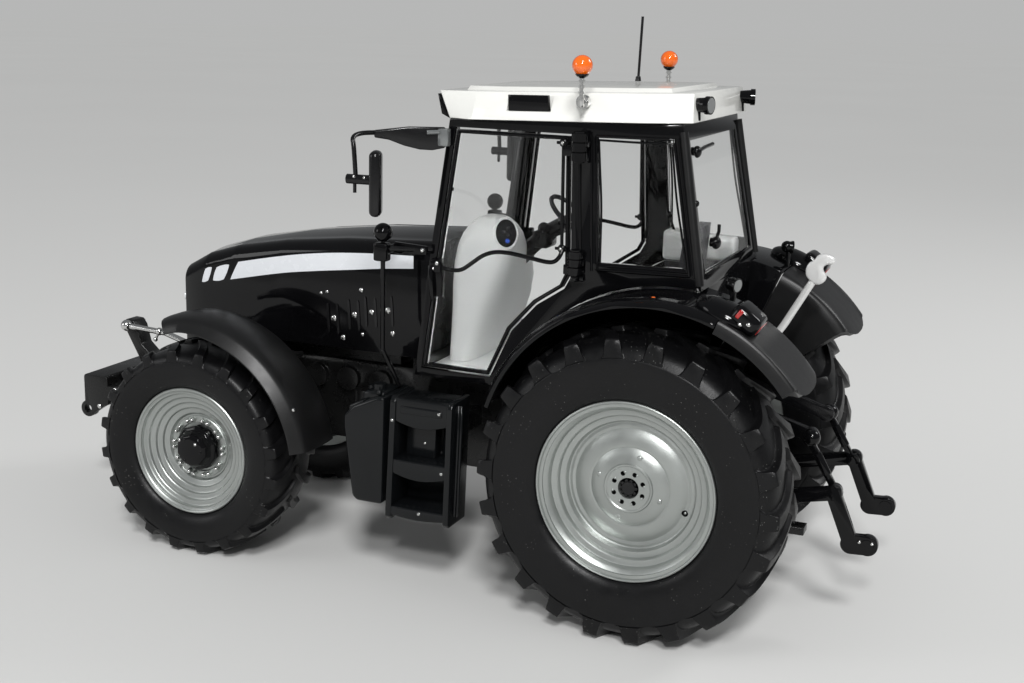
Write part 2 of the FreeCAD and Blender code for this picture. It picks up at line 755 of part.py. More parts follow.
def roof():
    """Roof slab with sloping edges, the raised top panel and the recesses at its side."""
    z0, z1 = cabTopZ + seatGap, roofTopZ - 0.8
    lower = [
        (roofRearX, -21.2), (roofRearX, 21.2), (4, roofHalfWidth + 1.2), (38, roofHalfWidth + 1.2),
        (roofFrontX - visorDepth, 20.5), (roofFrontX - visorDepth, -20.5), (38, -roofHalfWidth - 1.2),
        (4, -roofHalfWidth - 1.2),
    ]
    upper = [
        (roofRearX + 0.6, -19.0), (roofRearX + 0.6, 19.0), (4, roofHalfWidth - 1.6), (38, roofHalfWidth - 1.6),
        (roofFrontX - 1.0, 18.0), (roofFrontX - 1.0, -18.0), (38, -roofHalfWidth + 1.6), (4, -roofHalfWidth + 1.6),
    ]
    body = Part.makeLoft([outline(lower, "xy", z0), outline(upper, "xy", z1)], True, True)
    panel = [(0, -17), (0, 17), (8, 18.5), (34, 18.5), (43, 15), (43, -15), (34, -18.5), (8, -18.5)]
    inner = [(x * 0.98 + 0.6, y * 0.95) for x, y in panel]
    top = Part.makeLoft([outline(panel, "xy", z1 - 0.2), outline(inner, "xy", roofTopZ)], True, True)
    recess = box((22.2, 31.2), (roofHalfWidth - 1.2, roofHalfWidth + 3), (97.2, 100.1))
    hollow = box((2, 38), (-18, 18), (z0 - 1, z0 + 2.4))
    return tipped(fused([body, top]).cut([recess, mirrored(recess), hollow]))


def roofLamps():
    """Round work lamps at the rear corners and the side lamps in the recesses."""
    rear = cone((roofRearX - 2.1, 17.4, 98.6), (roofRearX - 0.1, 17.4, 98.6), 1.7, 1.2)
    side = box((22.4, 31.0), (roofHalfWidth - 1.1, roofHalfWidth + 0.2), (97.4, 99.9))
    return tipped(Part.makeCompound([rear, mirrored(rear), side, mirrored(side)]))


def seat():
    """Seat with suspension, cushion, back and armrests."""
    z = 56.2 + seatGap
    base = prism([(-1.5, z), (8.5, z), (7.5, z + 3.4), (-0.5, z + 3.4)], "xz", -4.5, 4.5)
    cushion = rounded(box((-1.0, 9.5), (-5.6, 5.6), (z + 3.4, z + 6.4)), 0.9, lambda e: along(e, UP))
    back = prism([(-1.6, z + 5), (1.4, z + 5), (-0.4, z + 19), (-2.6, z + 19)], "xz", -5.2, 5.2)
    arm = box((-0.5, 6.5), (5.7, 7.2), (z + 9.0, z + 10.2))
    post = box((-0.5, 1.2), (5.2, 6.6), (z + 5.2, z + 9.2))
    return fused([base, cushion, back, arm, mirrored(arm), post, mirrored(post)])


def console():
    """Moulded front wall of the cab's inside, drawn out to the steering column."""
    low = cabLowZ + 1.3 + seatGap
    side = [
        (47.4, low), (42.6, low), (40.6, 52), (37.2, 61), (33.6, 68.0), (31.2, 72.2), (32.6, 75.2),
        (35.6, 76.3), (39.4, 75.6), (42.6, 72.6), (44.6, 67.0), (46.2, 58.0),
    ]
    plan = [(52, -15.5), (52, 15.5), (43.6, 15.5), (38.5, 12.5), (30.0, 6.2), (30.0, -6.2), (38.5, -12.5), (43.6, -15.5)]
    return prism(side, "xz", -16, 16).common(prism(plan, "xy", low - 1, 80))


def steeringWheel():
    """Steering column and wheel, leaning back to the driver."""
    foot = Vector(31.6, 0, 68.5)
    top = Vector(25.6, 0, 75.2)
    lean = (top - foot).normalize()
    column = Part.makeCylinder(0.9, (top - foot).Length, foot, lean)
    across = lean.cross(LEFT).normalize()
    section = Part.makeCircle(0.5, top + across * 5.4, LEFT)
    corners = section.discretize(Number=wheelRimFacets + 1)
    ring = Part.Face(Part.makePolygon(corners)).revolve(top, lean, 360)
    spokes = [Part.makeCylinder(0.45, 5.2, top, d) for d in (LEFT, LEFT * -1, across)]
    return fused([column, ring] + spokes).cut(console())


def fenderSector(start, end):
    """Sector about the fender's centre between two angles, to cut its arcs out."""
    far = 80
    corners = [polar(far, start + (end - start) * share / 4, fenderCentre) for share in range(5)]
    return prism([fenderCentre] + corners, "xz", 0, 60)


def rearFender():
    """Left rear fender: arched shell with its inner plate."""
    inside = fenderRadius - shellThick
    band = turned([
        (inside, fenderInY), (fenderRadius, fenderInY), (fenderRadius, fenderOutY - 1.6),
        (fenderRadius - 0.9, fenderOutY), (inside - 0.7, fenderOutY), (inside - 0.7, fenderOutY - 0.8),
        (inside, fenderOutY - 1.8),
    ])
    band = moved(band, fenderX, 0, fenderZ)
    plate = disc((fenderX, fenderZ), (fenderInY, fenderInY + fenderPlate), inside + 0.5)
    sector = fenderSector(fenderFrontAngle, fenderRearAngle)
    plateCut = box((-60, 60), (0, 60), (0, rearAxleZ + axleHousingRadius + 6))
    return fused([band.common(sector), plate.common(sector).cut(plateCut)])


def fenderExtension():
    """Rear part of the fender with its own inner plate, a separate moulded piece."""
    inside = fenderRadius - shellThick
    band = turned([
        (inside - 0.6, fenderInY), (fenderRadius - 0.8, fenderInY), (fenderRadius - 0.3, fenderInY + 1.2),
        (fenderRadius - 0.3, fenderOutY - 1.2), (fenderRadius - 1.0, fenderOutY), (inside - 1.2, fenderOutY),
        (inside - 1.2, fenderOutY - 0.7), (inside - 0.5, fenderOutY - 1.5),
    ])
    plate = disc((0, 0), (fenderInY, fenderInY + fenderPlate), inside - 0.2)
    plate = plate.cut(disc((0, 0), (0, 40), extensionPlateRadius))
    shell = moved(fused([band, plate]), fenderX, 0, fenderZ)
    return shell.common(fenderSector(fenderRearAngle + 0.2, extensionRearAngle))


def tailLamps():
    """Tail lamp pods on the rear end of the fenders."""
    top = fenderTopZ + seatGap
    pod = prism([(-13.0, top - 1.0), (-13.6, top + 0.6), (-21.0, top - 1.6), (-23.0, top - 4.6), (-22.6, top - 6.5)],
                "xz", 27.5, 36.0)
    pod = pod.cut(fenderCylinder(fenderRadius + seatGap, (0, 60)))
    return both(pod)


def fenderLamps():
    """Round work lamps above the fenders' rear ends."""
    x, y, z = -16.2, 24.6, fenderTopZ + 1.9
    lamp = cone((x - 2.0, y, z), (x, y, z), 1.9, 1.3)
    stalk = rod((x - 0.8, y, fenderZ + math.sqrt(fenderRadius ** 2 - (x - 0.8 - fenderX) ** 2) + 0.15), (x - 0.8, y, z), 0.5)
    return both(fused([lamp, stalk]))


def fuelTank():
    """Left tank with sloping top and chamfered side."""
    x0, x1 = tankX
    y0, y1 = tankY
    z0, z1 = tankZ
    body = box(tankX, tankY, tankZ)
    slope = prism([(x0 - 1, z1 - 1.5), (x0 - 1, z1 + 1), (x1 + 1, z1 + 1), (x1 + 1, z1 - 5.5)], "xz", y0 - 1, y1 + 1)
    body = body.cut(slope)
    return rounded(body, 1.2, lambda e: along(e, UP) and e.CenterOfMass.y > y1 - 0.1)


def steps():
    """Left access steps: side plates, back plate and three treads."""
    x0, x1 = stepX
    y0, y1 = stepY
    z0, z1 = stepZ
    wall = 1.0
    pieces = [
        prism([(x0, z0), (x0, z1), (x0 + wall, z1), (x0 + wall, z0)], "xz", y0, y1),
        prism([(x1 - wall, z0), (x1 - wall, z1), (x1, z1), (x1, z0)], "xz", y0, y1),
        box((x0, x1), (y0, y0 + wall), (z0, z1)),
    ]
    for z in (z0, (z0 + z1) / 2 - 2.0, z1 - 7.5):
        pieces.append(box((x0, x1), (y0, y1), (z, z + 1.2)))
    pieces.append(box((x0, x1), (y0, y1), (z1 - 1.2, z1)))
    return fused(pieces)


def sideBeams():
    """Beams from the gearbox that carry tanks and steps."""
    beams = []
    for ends, reach in ((tankX, tankY[0]), (stepX, stepY[0])):
        middle = sum(ends) / 2
        beams.append(box((middle - 2, middle + 2), (0, reach - seatGap), (30, 34)))
    return beams + [mirrored(b) for b in beams]


def exhaust():
    """Exhaust stack leaning along the right windscreen pillar, with its elbow to the bonnet."""
    y = -22.3
    foot, shieldFoot, shieldTop, top = (51.2, y, 49.0), (50.6, y, 53.5), (46.0, y, 88.0), (45.7, y, 90.2)
    pipe = rod(foot, top, 1.0)
    shield = rod(shieldFoot, shieldTop, 1.45)
    elbow = rod(foot, (52.4, -bonnetSections[0][1] - 0.25, 48.0), 1.0)
    return fused([pipe, shield, elbow, ball(foot, 1.0)])


def beacons():
    return both(ball(beaconPlace, beaconRadius))


def beaconStems():
    """Bracket, stem and cup under each beacon."""
    x, y, z = beaconPlace
    stem = rod((x, y, z - 7.7), (x, y, z - 2.5), 0.45)
    cup = cone((x, y, z - 2.8), (x, y, z - beaconRadius), 0.8, 1.4)
    arm = rod((x, roofHalfWidth + 0.3, z - 7.3), (x, y + 0.6, z - 7.3), 0.7)
    piece = fused([stem, cup, arm]).cut(ball(beaconPlace, beaconRadius + seatGap))
    return both(piece.cut(roof()))


def antenna():
    x, y = 17.6, -16.6
    foot = cone((x, y, roofTopZ), (x, y, roofTopZ + 1.9), 0.8, 0.5)
    mast = rod((x, y, roofTopZ + 0.6), (x - 0.4, y, roofTopZ + 14.3), 0.28)
    return fused([foot, mast]).cut(moved(roof(), 0, 0, seatGap))


def mirrors():
    """Mirror on its two part arm, left of the cab front."""
    arm = Part.makeLoft([
        outline([(42.6, 91.0), (45.0, 91.0), (45.0, 94.0), (42.6, 94.0)], "xz", pillarTopY + 0.7),
        outline([(57.6, 91.4), (59.2, 91.4), (59.2, 92.6), (57.6, 92.6)], "xz", 30.5),
    ], True, True)
    reach = rod((58.4, 30.0, 92.0), (57.6, 35.2, 91.6), 0.5)
    drop = rod((57.6, 35.0, 92.0), (57.0, 35.2, 84.0), 0.45)
    clamp = box((53.6, 57.6), (34.4, 35.6), (83.6, 84.8))
    head = rounded(box((51.6, 54.0), (32.6, 37.4), (77.2, 89.6)), 0.8, lambda e: along(e, FORWARD))
    return fused([arm, reach, drop, clamp, head])


def lampStalks():
    """Handrail post with lamps at the front corner of the cab."""
    x, y = 55.0, 28.0
    post = rod((x, y, 48.7), (x, y, 71.6), 0.45)
    lamp = ball((x, y, 72.8), 1.35)
    block = box((x - 1.2, x + 1.2), (y - 0.9, y + 1.3), (68.0, 70.8))
    bracket = rod((x, y, 69.6), (46.2, 23.6, 69.6), 0.5)
    bend = rod((x, y, 49.0), (52.2, 26.0, 41.3), 0.45)
    knee = ball((x, y, 49.0), 0.5)
    return fused([post, lamp, block, bracket, bend, knee]).cut(cabLoft(0, 1, 1))


def hitch():
    """Drawbar and pick-up hitch under the rear axle."""
    bar = box((-27.5, -4.0), (-1.8, 1.8), (14.0, 15.6))
    hole = rod((-25.2, 0, 10), (-25.2, 0, 20), 0.8)
    cheek = box((-14.5, -6.0), (2.4, 3.6), (12.4, rearAxleZ - 10.1))
    frame = box((-11.5, -9.1), (-6.5, 6.5), (16.2, rearAxleZ - 5.6))
    return fused([bar, cheek, mirrored(cheek), box((-13, -7), (-3, 3), (12.4, 15.0)), frame]).cut(hole)


def ptoShaft():
    return fused([
        rod((-13.5, 0, 27.0), (-9.1, 0, 27.0), 1.0),
        rod((-10.4, 0, 27.0), (-9.1, 0, 27.0), 2.2),
    ])


# Rear linkage

def barWithEyes(start, end, y, thick, width, eyes):
    """Flat bar in the xz plane between two pins, with round ends and pin holes."""
    (x0, z0), (x1, z1) = start, end
    length = math.hypot(x1 - x0, z1 - z0)
    nx, nz = -(z1 - z0) / length * width / 2, (x1 - x0) / length * width / 2
    band = prism([(x0 + nx, z0 + nz), (x1 + nx, z1 + nz), (x1 - nx, z1 - nz), (x0 - nx, z0 - nz)],
                 "xz", y - thick / 2, y + thick / 2)
    ends = []
    for (x, z), radius in zip((start, end), eyes):
        ends.append(disc((x, z), (y - thick / 2, y + thick / 2), radius))
    return fused([band] + ends)


def pinHole(centre, y, radius):
    return disc(centre, (y - 6, y + 6), radius)


def lowerLinks():
    """Lower links, cranked down behind the lift rods, with their open hooks."""
    thick = linkThick
    eye = hookRadius + hookWall
    near = barWithEyes(linkPivot, rodFoot, linkY, thick, 2.6, (1.9, 1.7))
    far = barWithEyes(rodFoot, linkHeel, linkY, thick, 2.8, (1.7, 1.6))
    claw = barWithEyes(linkHeel, hookCentre, linkY, thick, 2 * eye - 0.2, (eye - 0.1, eye))
    link = fused([near, far, claw])
    link = link.cut(pinHole(linkPivot, linkY, linkPinRadius + runningGap))
    link = link.cut(pinHole(hookCentre, linkY, hookRadius))
    return both(link)


def linkPivots():
    """Pins and brackets on the axle housing for the lower links."""
    y = linkY
    pin = disc(linkPivot, (9.8, y + 1.6), linkPinRadius)
    return [pin, mirrored(pin)]


def liftArms():
    """Cross shaft with the two lift arms."""
    x, z = liftPivot
    inner = linkY - linkThick / 2 - 0.3 - 1.2 - 0.3
    shaft = disc(liftPivot, (-inner, inner), liftShaftRadius)
    arm = barWithEyes(liftPivot, liftEnd, inner - 0.9, 1.8, 2.6, (2.2, 1.6))
    arms = []
    for side in (1, -1):
        one = arm if side > 0 else mirrored(arm)
        pin = disc(liftEnd, sorted((side * (inner - 0.5), side * (inner + 1.6))), linkPinRadius)
        arms += [one, pin]
    return fused([shaft] + arms)


def liftRods():
    """Lift rods from the arms down beside the lower links, which they meet without a pin."""
    y = linkY - linkThick / 2 - 0.3 - 0.6
    bar = barWithEyes(liftEnd, rodFoot, y, 1.2, 1.2, (1.4, 1.4))
    near, far = 0.7, 0.3
    body = rod((liftEnd[0] * near + rodFoot[0] * far, y, liftEnd[1] * near + rodFoot[1] * far),
               (liftEnd[0] * far + rodFoot[0] * near, y, liftEnd[1] * far + rodFoot[1] * near), 0.85)
    link = fused([bar, body])
    return both(link.cut(pinHole(liftEnd, y, linkPinRadius + runningGap)))


def topLink():
    """Top link with its claw, open to the rear over the pin's place."""
    rise = math.degrees(math.atan2(topClaw[1] - topPivot[1], topClaw[0] - topPivot[0]))
    bar = barWithEyes(topPivot, polar(-2.0, rise, topClaw), 0, 1.5, 1.5, (1.5, 0.75))
    head = prism([polar(radius, rise + turn, topClaw) for radius, turn in clawOutline], "xz", -0.75, 0.75)
    link = fused([bar, head, disc(topClaw, (-0.75, 0.75), hookRadius + 0.8)])
    return link.cut(pinHole(topClaw, 0, hookRadius)).cut(pinHole(topPivot, 0, linkPinRadius + runningGap))


def topBracket():
    """Clevis on the rear of the axle housing for the top link."""
    x, z = topPivot
    ear = prism([
        (-7.0, rearAxleZ + 11.5), (-7.0, 46.6), (-9.6, 47.6), (-9.6, z + 1.3), (x, z + 1.6),
        (x - 1.5, z), (x, z - 1.5), (-11.0, rearAxleZ + 11.5),
    ], "xz", 1.0, 2.2)
    pin = disc(topPivot, (-2.1, 2.1), linkPinRadius)
    return fused([ear, mirrored(ear), pin])


# Front linkage

def frontLinkage():
    """Front linkage block with its leaning tower and the pivot pin of the arms."""
    x0, x1 = frontBlockX
    block = box((x0, x1), (-8.2, 8.2), (21.5, 33.5))
    block = rounded(block, 1.2, lambda e: along(e, LEFT))
    tx, tz = towerTip
    tower = prism([(x1 - 4, 33.0), (x1 - 1.0, 29), (x1 + 2.9, 29.5), (tx + 1.4, tz), (tx + 0.4, tz + 1.3),
                   (tx - 2.0, tz + 1.0), (x1 - 1.0, 33.4)], "xz", -2.2, 2.2)
    pin = disc(frontArmPivot, (-frontArmY - 1.9, frontArmY + 1.9), frontPinRadius)
    slot = disc(towerTip, (-5, 5), 0.7)
    return fused([block, tower, pin]).cut(slot)


def frontArms():
    """Two arms joined by the wide cross block, with open hooks at its foot."""
    y = frontArmY
    eye = hookRadius + hookWall
    x, z = frontArmEnd
    half = linkThick / 2
    back = barWithEyes(frontArmPivot, (x - 4.6, z + 4.4), y, linkThick, 3.4, (2.4, 1.7))
    hook = barWithEyes((x - 3.6, z + 2.4), frontArmEnd, y, linkThick, 3.4, (1.7, eye))
    block = box((x - 6.0, x + 0.8), (-y - half, y + half), (z + hookRadius + 0.3, z + 8.6))
    block = rounded(block, 0.8, lambda e: along(e, LEFT))
    hollow = box((x - 4.6, x + 2.4), (-y + half + 0.6, y - half - 0.6), (z + hookRadius + 1.2, z + 7.4))
    arms = fused([back, hook, mirrored(back), mirrored(hook), block]).cut(hollow)
    for side in (1, -1):
        arms = arms.cut(pinHole(frontArmPivot, side * y, frontPinRadius + runningGap))
        arms = arms.cut(disc(frontArmEnd, sorted((side * (y - half - 0.1), side * (y + half + 0.1))), hookRadius))
    return arms


def frontTopLink():
    """Short bright link from the tower back to the nose."""
    pin = disc(towerTip, (-3.0, 3.0), 0.65)
    y = 3.5
    bar = rod((towerTip[0], y, towerTip[1]), (noseTip[0], y, noseTip[1]), 0.5)
    head = ball((towerTip[0], y, towerTip[1]), 1.1)
    return fused([pin, bar, head])


# Doors

def doorLeaf():
    """Left door: black frame with hinge arms and handle, and its pane."""
    frame = leafIn(doorOpening, "xz", doorGap, 0, 40, 0.05, 0.95)
    window = leafIn(doorOpening, "xz", doorGap + doorBorder, 0, 40, -1.0, 3.0)
    frame = frame.cut(window)
    pane = leafIn(doorOpening, "xz", doorGap + doorBorder + 0.05, 0, 40, 0.2, 0.2 + glassThick)
    arms = []
    top, bottom = doorOpening[2], doorOpening[3]
    for z, y in hingeLevels:
        edge = bottom[0] + (top[0] - bottom[0]) * (z - bottom[1]) / (top[1] - bottom[1]) + doorGap
        arms.append(box((hingeX, edge + 0.7), (hingeY - 0.9, hingeY - 0.1), (z - 0.9, z + 0.9)))
        arms.append(rod((hingeX, hingeY, z - 0.9), (hingeX, hingeY, z + 0.9), 0.9))
        arms.append(box((edge + 0.1, edge + 0.7), (y, hingeY - 0.1), (z - 0.9, z + 0.9)))
    bore = rod((hingeX, hingeY, 60), (hingeX, hingeY, 98), hingePinRadius + runningGap)
    handle = box((43.4, 45.2), (22.8, 25.2), (60.5, 67.0))
    handle = handle.cut(cabLoft(0.05))
    return fused([frame] + arms + [handle]).cut(bore), pane


def doorHinges():
    """Fixed hinge knuckles with their pins on the middle pillars."""
    pieces = []
    for z, armY in hingeLevels:
        pin = rod((hingeX, hingeY, z - 1.9), (hingeX, hingeY, z + 1.9), hingePinRadius)
        for low in (z - 2.0, z + 1.0):
            pieces.append(rod((hingeX, hingeY, low), (hingeX, hingeY, low + 1.0), 0.9))
            pieces.append(box((hingeX - 1.6, hingeX + 0.3), (20.0, hingeY), (low, low + 1.0)))
        pieces.append(pin)
    return pieces


def cabWithHinges():
    frame = cabFrame()
    inner = cabLoft(cabWall, 1, 1)
    hinges = [p.cut(inner) for p in doorHinges()]
    return fused([frame] + hinges + [mirrored(p) for p in hinges])


def panes():
    gap = 0.08
    side = leafIn(sideOpening, "xz", gap, 0, 40, 0.25, 0.25 + glassThick)
    return {
        "windscreen": leafIn(frontOpening, "yz", gap, 30, 60, 0.25, 0.25 + glassThick),
        "side_windows": both(side),
        "rear_window": leafIn(rearOpening, "yz", gap, -20, 0, 0.25, 0.25 + glassThick),
    }


def buildNodes():
    """All nodes by name."""
    left = wheels()
    frame, pivot = frontFrame()
    doorFrame, doorPane = doorLeaf()
    nodes = {
        "engine_gearbox": fused([gearboxSolid(), bulkhead()] + sideBeams()),
        "rear_axle": fused([rearAxle(), topBracket()] + linkPivots()),
        "front_frame": fused([frame, pivot]),
        "front_axle": frontAxle(),
        "bonnet": bonnet(),
        "grille": grille(),
        "headlamps": headlamps(),
        "cab_frame": cabWithHinges(),
        "cab_floor": cabFloor(),
        "console": console(),
        "steering_wheel": steeringWheel(),
        "seat": seat(),
        "roof": roof(),
        "work_lamps": Part.makeCompound([roofLamps(), fenderLamps()]),
        "tail_lamps": tailLamps(),
        "fender_extensions": both(fenderExtension()),
        "fuel_tanks": both(fuelTank()),
        "steps": both(steps()),
        "exhaust": exhaust(),
        "beacons": beacons(),
        "beacon_stems": beaconStems(),
        "antenna": antenna(),
        "mirrors": both(mirrors()),
        "lamp_stalks": both(lampStalks()),
        "hitch": hitch(),
        "pto_shaft": ptoShaft(),
        "front_linkage": frontLinkage(),
        "front_top_link": frontTopLink(),
        "front_arms": frontArms(),
        "lift_arms": liftArms(),
        "lift_rods": liftRods(),
        "lower_links": lowerLinks(),
        "top_link": topLink(),
        "tie_rod": tieRod(),
    }
    nodes.update(panes())
    pairs = {
        "rear_fender": rearFender(), "knuckle": knuckle(), "front_fender": frontFender(),
        "door_frame": doorFrame, "door_glass": doorPane,
    }
    pairs.update(left)
    for name, shape in pairs.items():
        nodes[name + "_left"] = shape
        nodes[name + "_right"] = mirrored(shape)
    return nodes


def main():
    os.makedirs("parts", exist_ok=True)
    for name, shape in buildNodes().items():
        placed = shape.copy()
        placed.translate(toFrame)
        placed.exportStep("parts/" + name + ".step")
        print(name, len(placed.Solids), "solid", round(placed.Volume, 1), placed.isValid())


main()
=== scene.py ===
import json
import math

import bmesh
import bpy
from mathutils import Matrix, Vector
from mathutils.bvhtree import BVHTree


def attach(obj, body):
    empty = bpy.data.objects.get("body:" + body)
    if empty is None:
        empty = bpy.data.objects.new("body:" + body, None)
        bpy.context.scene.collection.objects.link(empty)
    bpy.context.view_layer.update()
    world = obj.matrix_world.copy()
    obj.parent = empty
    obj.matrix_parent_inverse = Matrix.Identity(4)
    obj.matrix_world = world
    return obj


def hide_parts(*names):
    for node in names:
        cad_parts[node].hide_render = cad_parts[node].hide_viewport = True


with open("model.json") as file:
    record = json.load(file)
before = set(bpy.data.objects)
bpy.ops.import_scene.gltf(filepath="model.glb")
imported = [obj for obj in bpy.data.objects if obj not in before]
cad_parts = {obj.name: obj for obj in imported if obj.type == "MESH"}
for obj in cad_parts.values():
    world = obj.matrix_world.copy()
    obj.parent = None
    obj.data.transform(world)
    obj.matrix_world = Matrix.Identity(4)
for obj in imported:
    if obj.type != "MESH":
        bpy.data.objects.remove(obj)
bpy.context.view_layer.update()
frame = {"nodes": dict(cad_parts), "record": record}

mm = 0.001
rearAxleX = -51.0  # mm, where the rear axle lies in the frame; pieces are shaped in mm from there
wheelbase = 98.0
sides = ((1, "left"), (-1, "right"))
flipped = (1, -1, 1)  # the scale that turns a left piece into a right one
origin = (0, 0, 0)
finishes = {}  # by name, filled in makeFinishes

nodeSlots = {part["node"]: part["material_slot"] for part in frame["record"]["subparts"]}
bodyOfNode = {node: body for body, nodes in frame["record"]["behaviour"]["bodies"].items() for node in nodes}


# camera, floor and light

cameraLook = {
    "place": (-123.75, 271.97, 115.53),  # mm
    "turn": 0.38736,       # radians, from straight across the tractor
    "tilt": 0.22994,
    "roll": 0.02586,
    "focalPixels": 1394.84,
    "imageWidth": 1024,
    "sensorWidth": 36.0,   # mm
    "clip": (0.01, 10.0),  # m
}

studio = {
    "floor": {"colour": (0.64, 0.64, 0.63), "variation": 0.01, "roughness": (0.6, 0.7), "grain": 300,
              "grainDepth": 0.00001, "blotch": 3, "specular": 0.0},
    "floorSize": 60.0,
    # colour and strength of what lights, of what the camera sees, and of what shiny surfaces mirror
    "light": ((0.86, 0.87, 0.88), 0.40),
    "seen": ((0.471, 0.474, 0.471), 1.0),
    "gleam": ((0.20, 0.205, 0.21), 1.0),
    "sun": {"from": (-0.30, 0.62, 0.72), "power": 1.7, "angle": 12.0},
    "aim": (0, 0, 0.05),
    # name, place from the tractor in m, size in m, power in W
    "lamps": [
        ("keyLamp", (-0.16, 0.42, 0.30), 0.05, 0.9),
        ("fillLamp", (0.50, 0.40, 0.26), 0.25, 0.5),
        ("backLamp", (-0.42, -0.30, 0.40), 0.20, 0.8),
    ],
}


def addObject(name, data):
    made = bpy.data.objects.new(name, data)
    bpy.context.scene.collection.objects.link(made)
    return made


def meshFrom(name, bm):
    mesh = bpy.data.meshes.new(name)
    bm.to_mesh(mesh)
    bm.free()
    return mesh


def makeCamera():
    c = cameraLook
    look = Vector((math.sin(c["turn"]) * math.cos(c["tilt"]),
                   -math.cos(c["turn"]) * math.cos(c["tilt"]),
                   -math.sin(c["tilt"])))
    side = look.cross(Vector((0, 0, 1))).normalized()
    top = side.cross(look).normalized()
    right = side * math.cos(c["roll"]) + top * math.sin(c["roll"])
    up = -side * math.sin(c["roll"]) + top * math.cos(c["roll"])
    camera = bpy.data.cameras.new("camera")
    camera.sensor_width = c["sensorWidth"]
    camera.lens = c["focalPixels"] / c["imageWidth"] * camera.sensor_width
    camera.clip_start, camera.clip_end = c["clip"]
    holder = addObject("camera", camera)
    rows = [(right[k], up[k], -look[k], c["place"][k] * mm) for k in range(3)]
    holder.matrix_world = Matrix((*rows, (0, 0, 0, 1)))
    bpy.context.scene.camera = holder


def makeWorld():
    world = bpy.data.worlds.new("studio")
    world.use_nodes = True
    bpy.context.scene.world = world
    tree = world.node_tree
    tree.nodes.clear()
    light, seen, gleam = [
        addNode(tree, "Background", {"Color": (*studio[name][0], 1), "Strength": studio[name][1]}).outputs[0]
        for name in ("light", "seen", "gleam")]
    path = addNode(tree, "LightPath", {}).outputs
    direct = addNode(tree, "Math", {0: path["Is Camera Ray"], 1: path["Is Transmission Ray"]}, operation="MAXIMUM")
    mirrored = addNode(tree, "MixShader", {0: path["Is Glossy Ray"], 1: light, 2: gleam})
    both = addNode(tree, "MixShader", {0: direct.outputs[0], 1: mirrored.outputs[0], 2: seen})
    addNode(tree, "OutputWorld", {0: both.outputs[0]})


def addLamp(name, kind, power, way, place=origin):
    lamp = bpy.data.lights.new(name, kind)
    lamp.energy = power
    holder = addObject(name, lamp)
    holder.location = place
    holder.rotation_euler = way.to_track_quat("-Z", "Y").to_euler()
    return lamp


def makeStudio():
    makeCamera()
    bpy.context.scene.view_settings.view_transform = "Standard"
    makeWorld()
    bm = bmesh.new()
    bmesh.ops.create_grid(bm, x_segments=1, y_segments=1, size=studio["floorSize"])
    mesh = meshFrom("floor", bm)
    mesh.materials.append(surface("floorPaint", **studio["floor"]))
    floor = addObject("floor", mesh)

    sun = studio["sun"]
    addLamp("sun", "SUN", sun["power"], -Vector(sun["from"])).angle = math.radians(sun["angle"])
    for name, place, size, power in studio["lamps"]:
        lamp = addLamp(name, "AREA", power, Vector(studio["aim"]) - Vector(place), place)
        lamp.shape = "DISK"
        lamp.size = size


# finishes

def feed(tree, node, inputs):
    # an input gets a value, or a link from the output given for it
    for socket, value in inputs.items():
        if isinstance(value, bpy.types.NodeSocket):
            tree.links.new(value, node.inputs[socket])
        else:
            node.inputs[socket].default_value = value


def addNode(tree, kind, inputs, **settings):
    node = tree.nodes.new("ShaderNode" + kind)
    for name, value in settings.items():
        setattr(node, name, value)
    feed(tree, node, inputs)
    return node


def startMaterial(name):
    material = bpy.data.materials.new(name)
    material.use_nodes = True
    tree = material.node_tree
    return material, tree, tree.nodes["Principled BSDF"], addNode(tree, "TexCoord", {}).outputs["Object"]


def noiseOf(tree, spot, scale, detail=3.0):
    inputs = {"Scale": scale, "Detail": detail, "Roughness": 0.55, "Vector": spot}
    return addNode(tree, "TexNoise", inputs).outputs["Fac"]


def rangeOf(tree, value, start, end, low=0.0, high=1.0):
    inputs = {"From Min": start, "From Max": end, "To Min": low, "To Max": high, "Value": value}
    return addNode(tree, "MapRange", inputs).outputs["Result"]


def dusted(tree, spot, colour, specks):
    # small specks, in patches
    dots = addNode(tree, "TexVoronoi", {"Scale": specks["scale"], "Vector": spot}).outputs["Distance"]
    near = rangeOf(tree, dots, specks["size"], specks["size"] * 0.4)
    patches = rangeOf(tree, noiseOf(tree, spot, specks["patch"], 2.0), *specks["patchEdge"])
    amount = addNode(tree, "Math", {0: near, 1: patches}, operation="MULTIPLY").outputs[0]
    inputs = {"Factor": amount, "A": colour, "B": (*specks["colour"], 1)}
    return addNode(tree, "Mix", inputs, data_type="RGBA").outputs["Result"]


def surface(name, colour, variation=0.15, roughness=(0.2, 0.3), metallic=0.0, coat=0.0,
            grain=4000.0, grainDepth=0.00002, blotch=90.0, specular=0.5, specks=None):
    # blotchy colour, uneven gloss, a fine grain, and specks of dust where they are asked for
    material, tree, shader, spot = startMaterial(name)
    tint = addNode(tree, "ValToRGB", {"Fac": noiseOf(tree, spot, blotch)})
    for stop, place, factor in zip(tint.color_ramp.elements, (0.3, 0.7), (1 - variation, 1 + variation)):
        stop.position = place
        stop.color = (*(min(1.0, c * factor) for c in colour), 1)
    colourOut = tint.outputs["Color"]
    if specks:
        colourOut = dusted(tree, spot, colourOut, specks)
    bump = addNode(tree, "Bump", {"Strength": 1.0, "Distance": grainDepth, "Height": noiseOf(tree, spot, grain, 2.0)})
    feed(tree, shader, {
        "Base Color": colourOut,
        "Roughness": rangeOf(tree, noiseOf(tree, spot, blotch * 4, 4.0), 0.3, 0.7, *roughness),
        "Normal": bump.outputs["Normal"],
        "Metallic": metallic, "Coat Weight": coat, "Coat Roughness": 0.04, "Specular IOR Level": specular,
    })
    return material


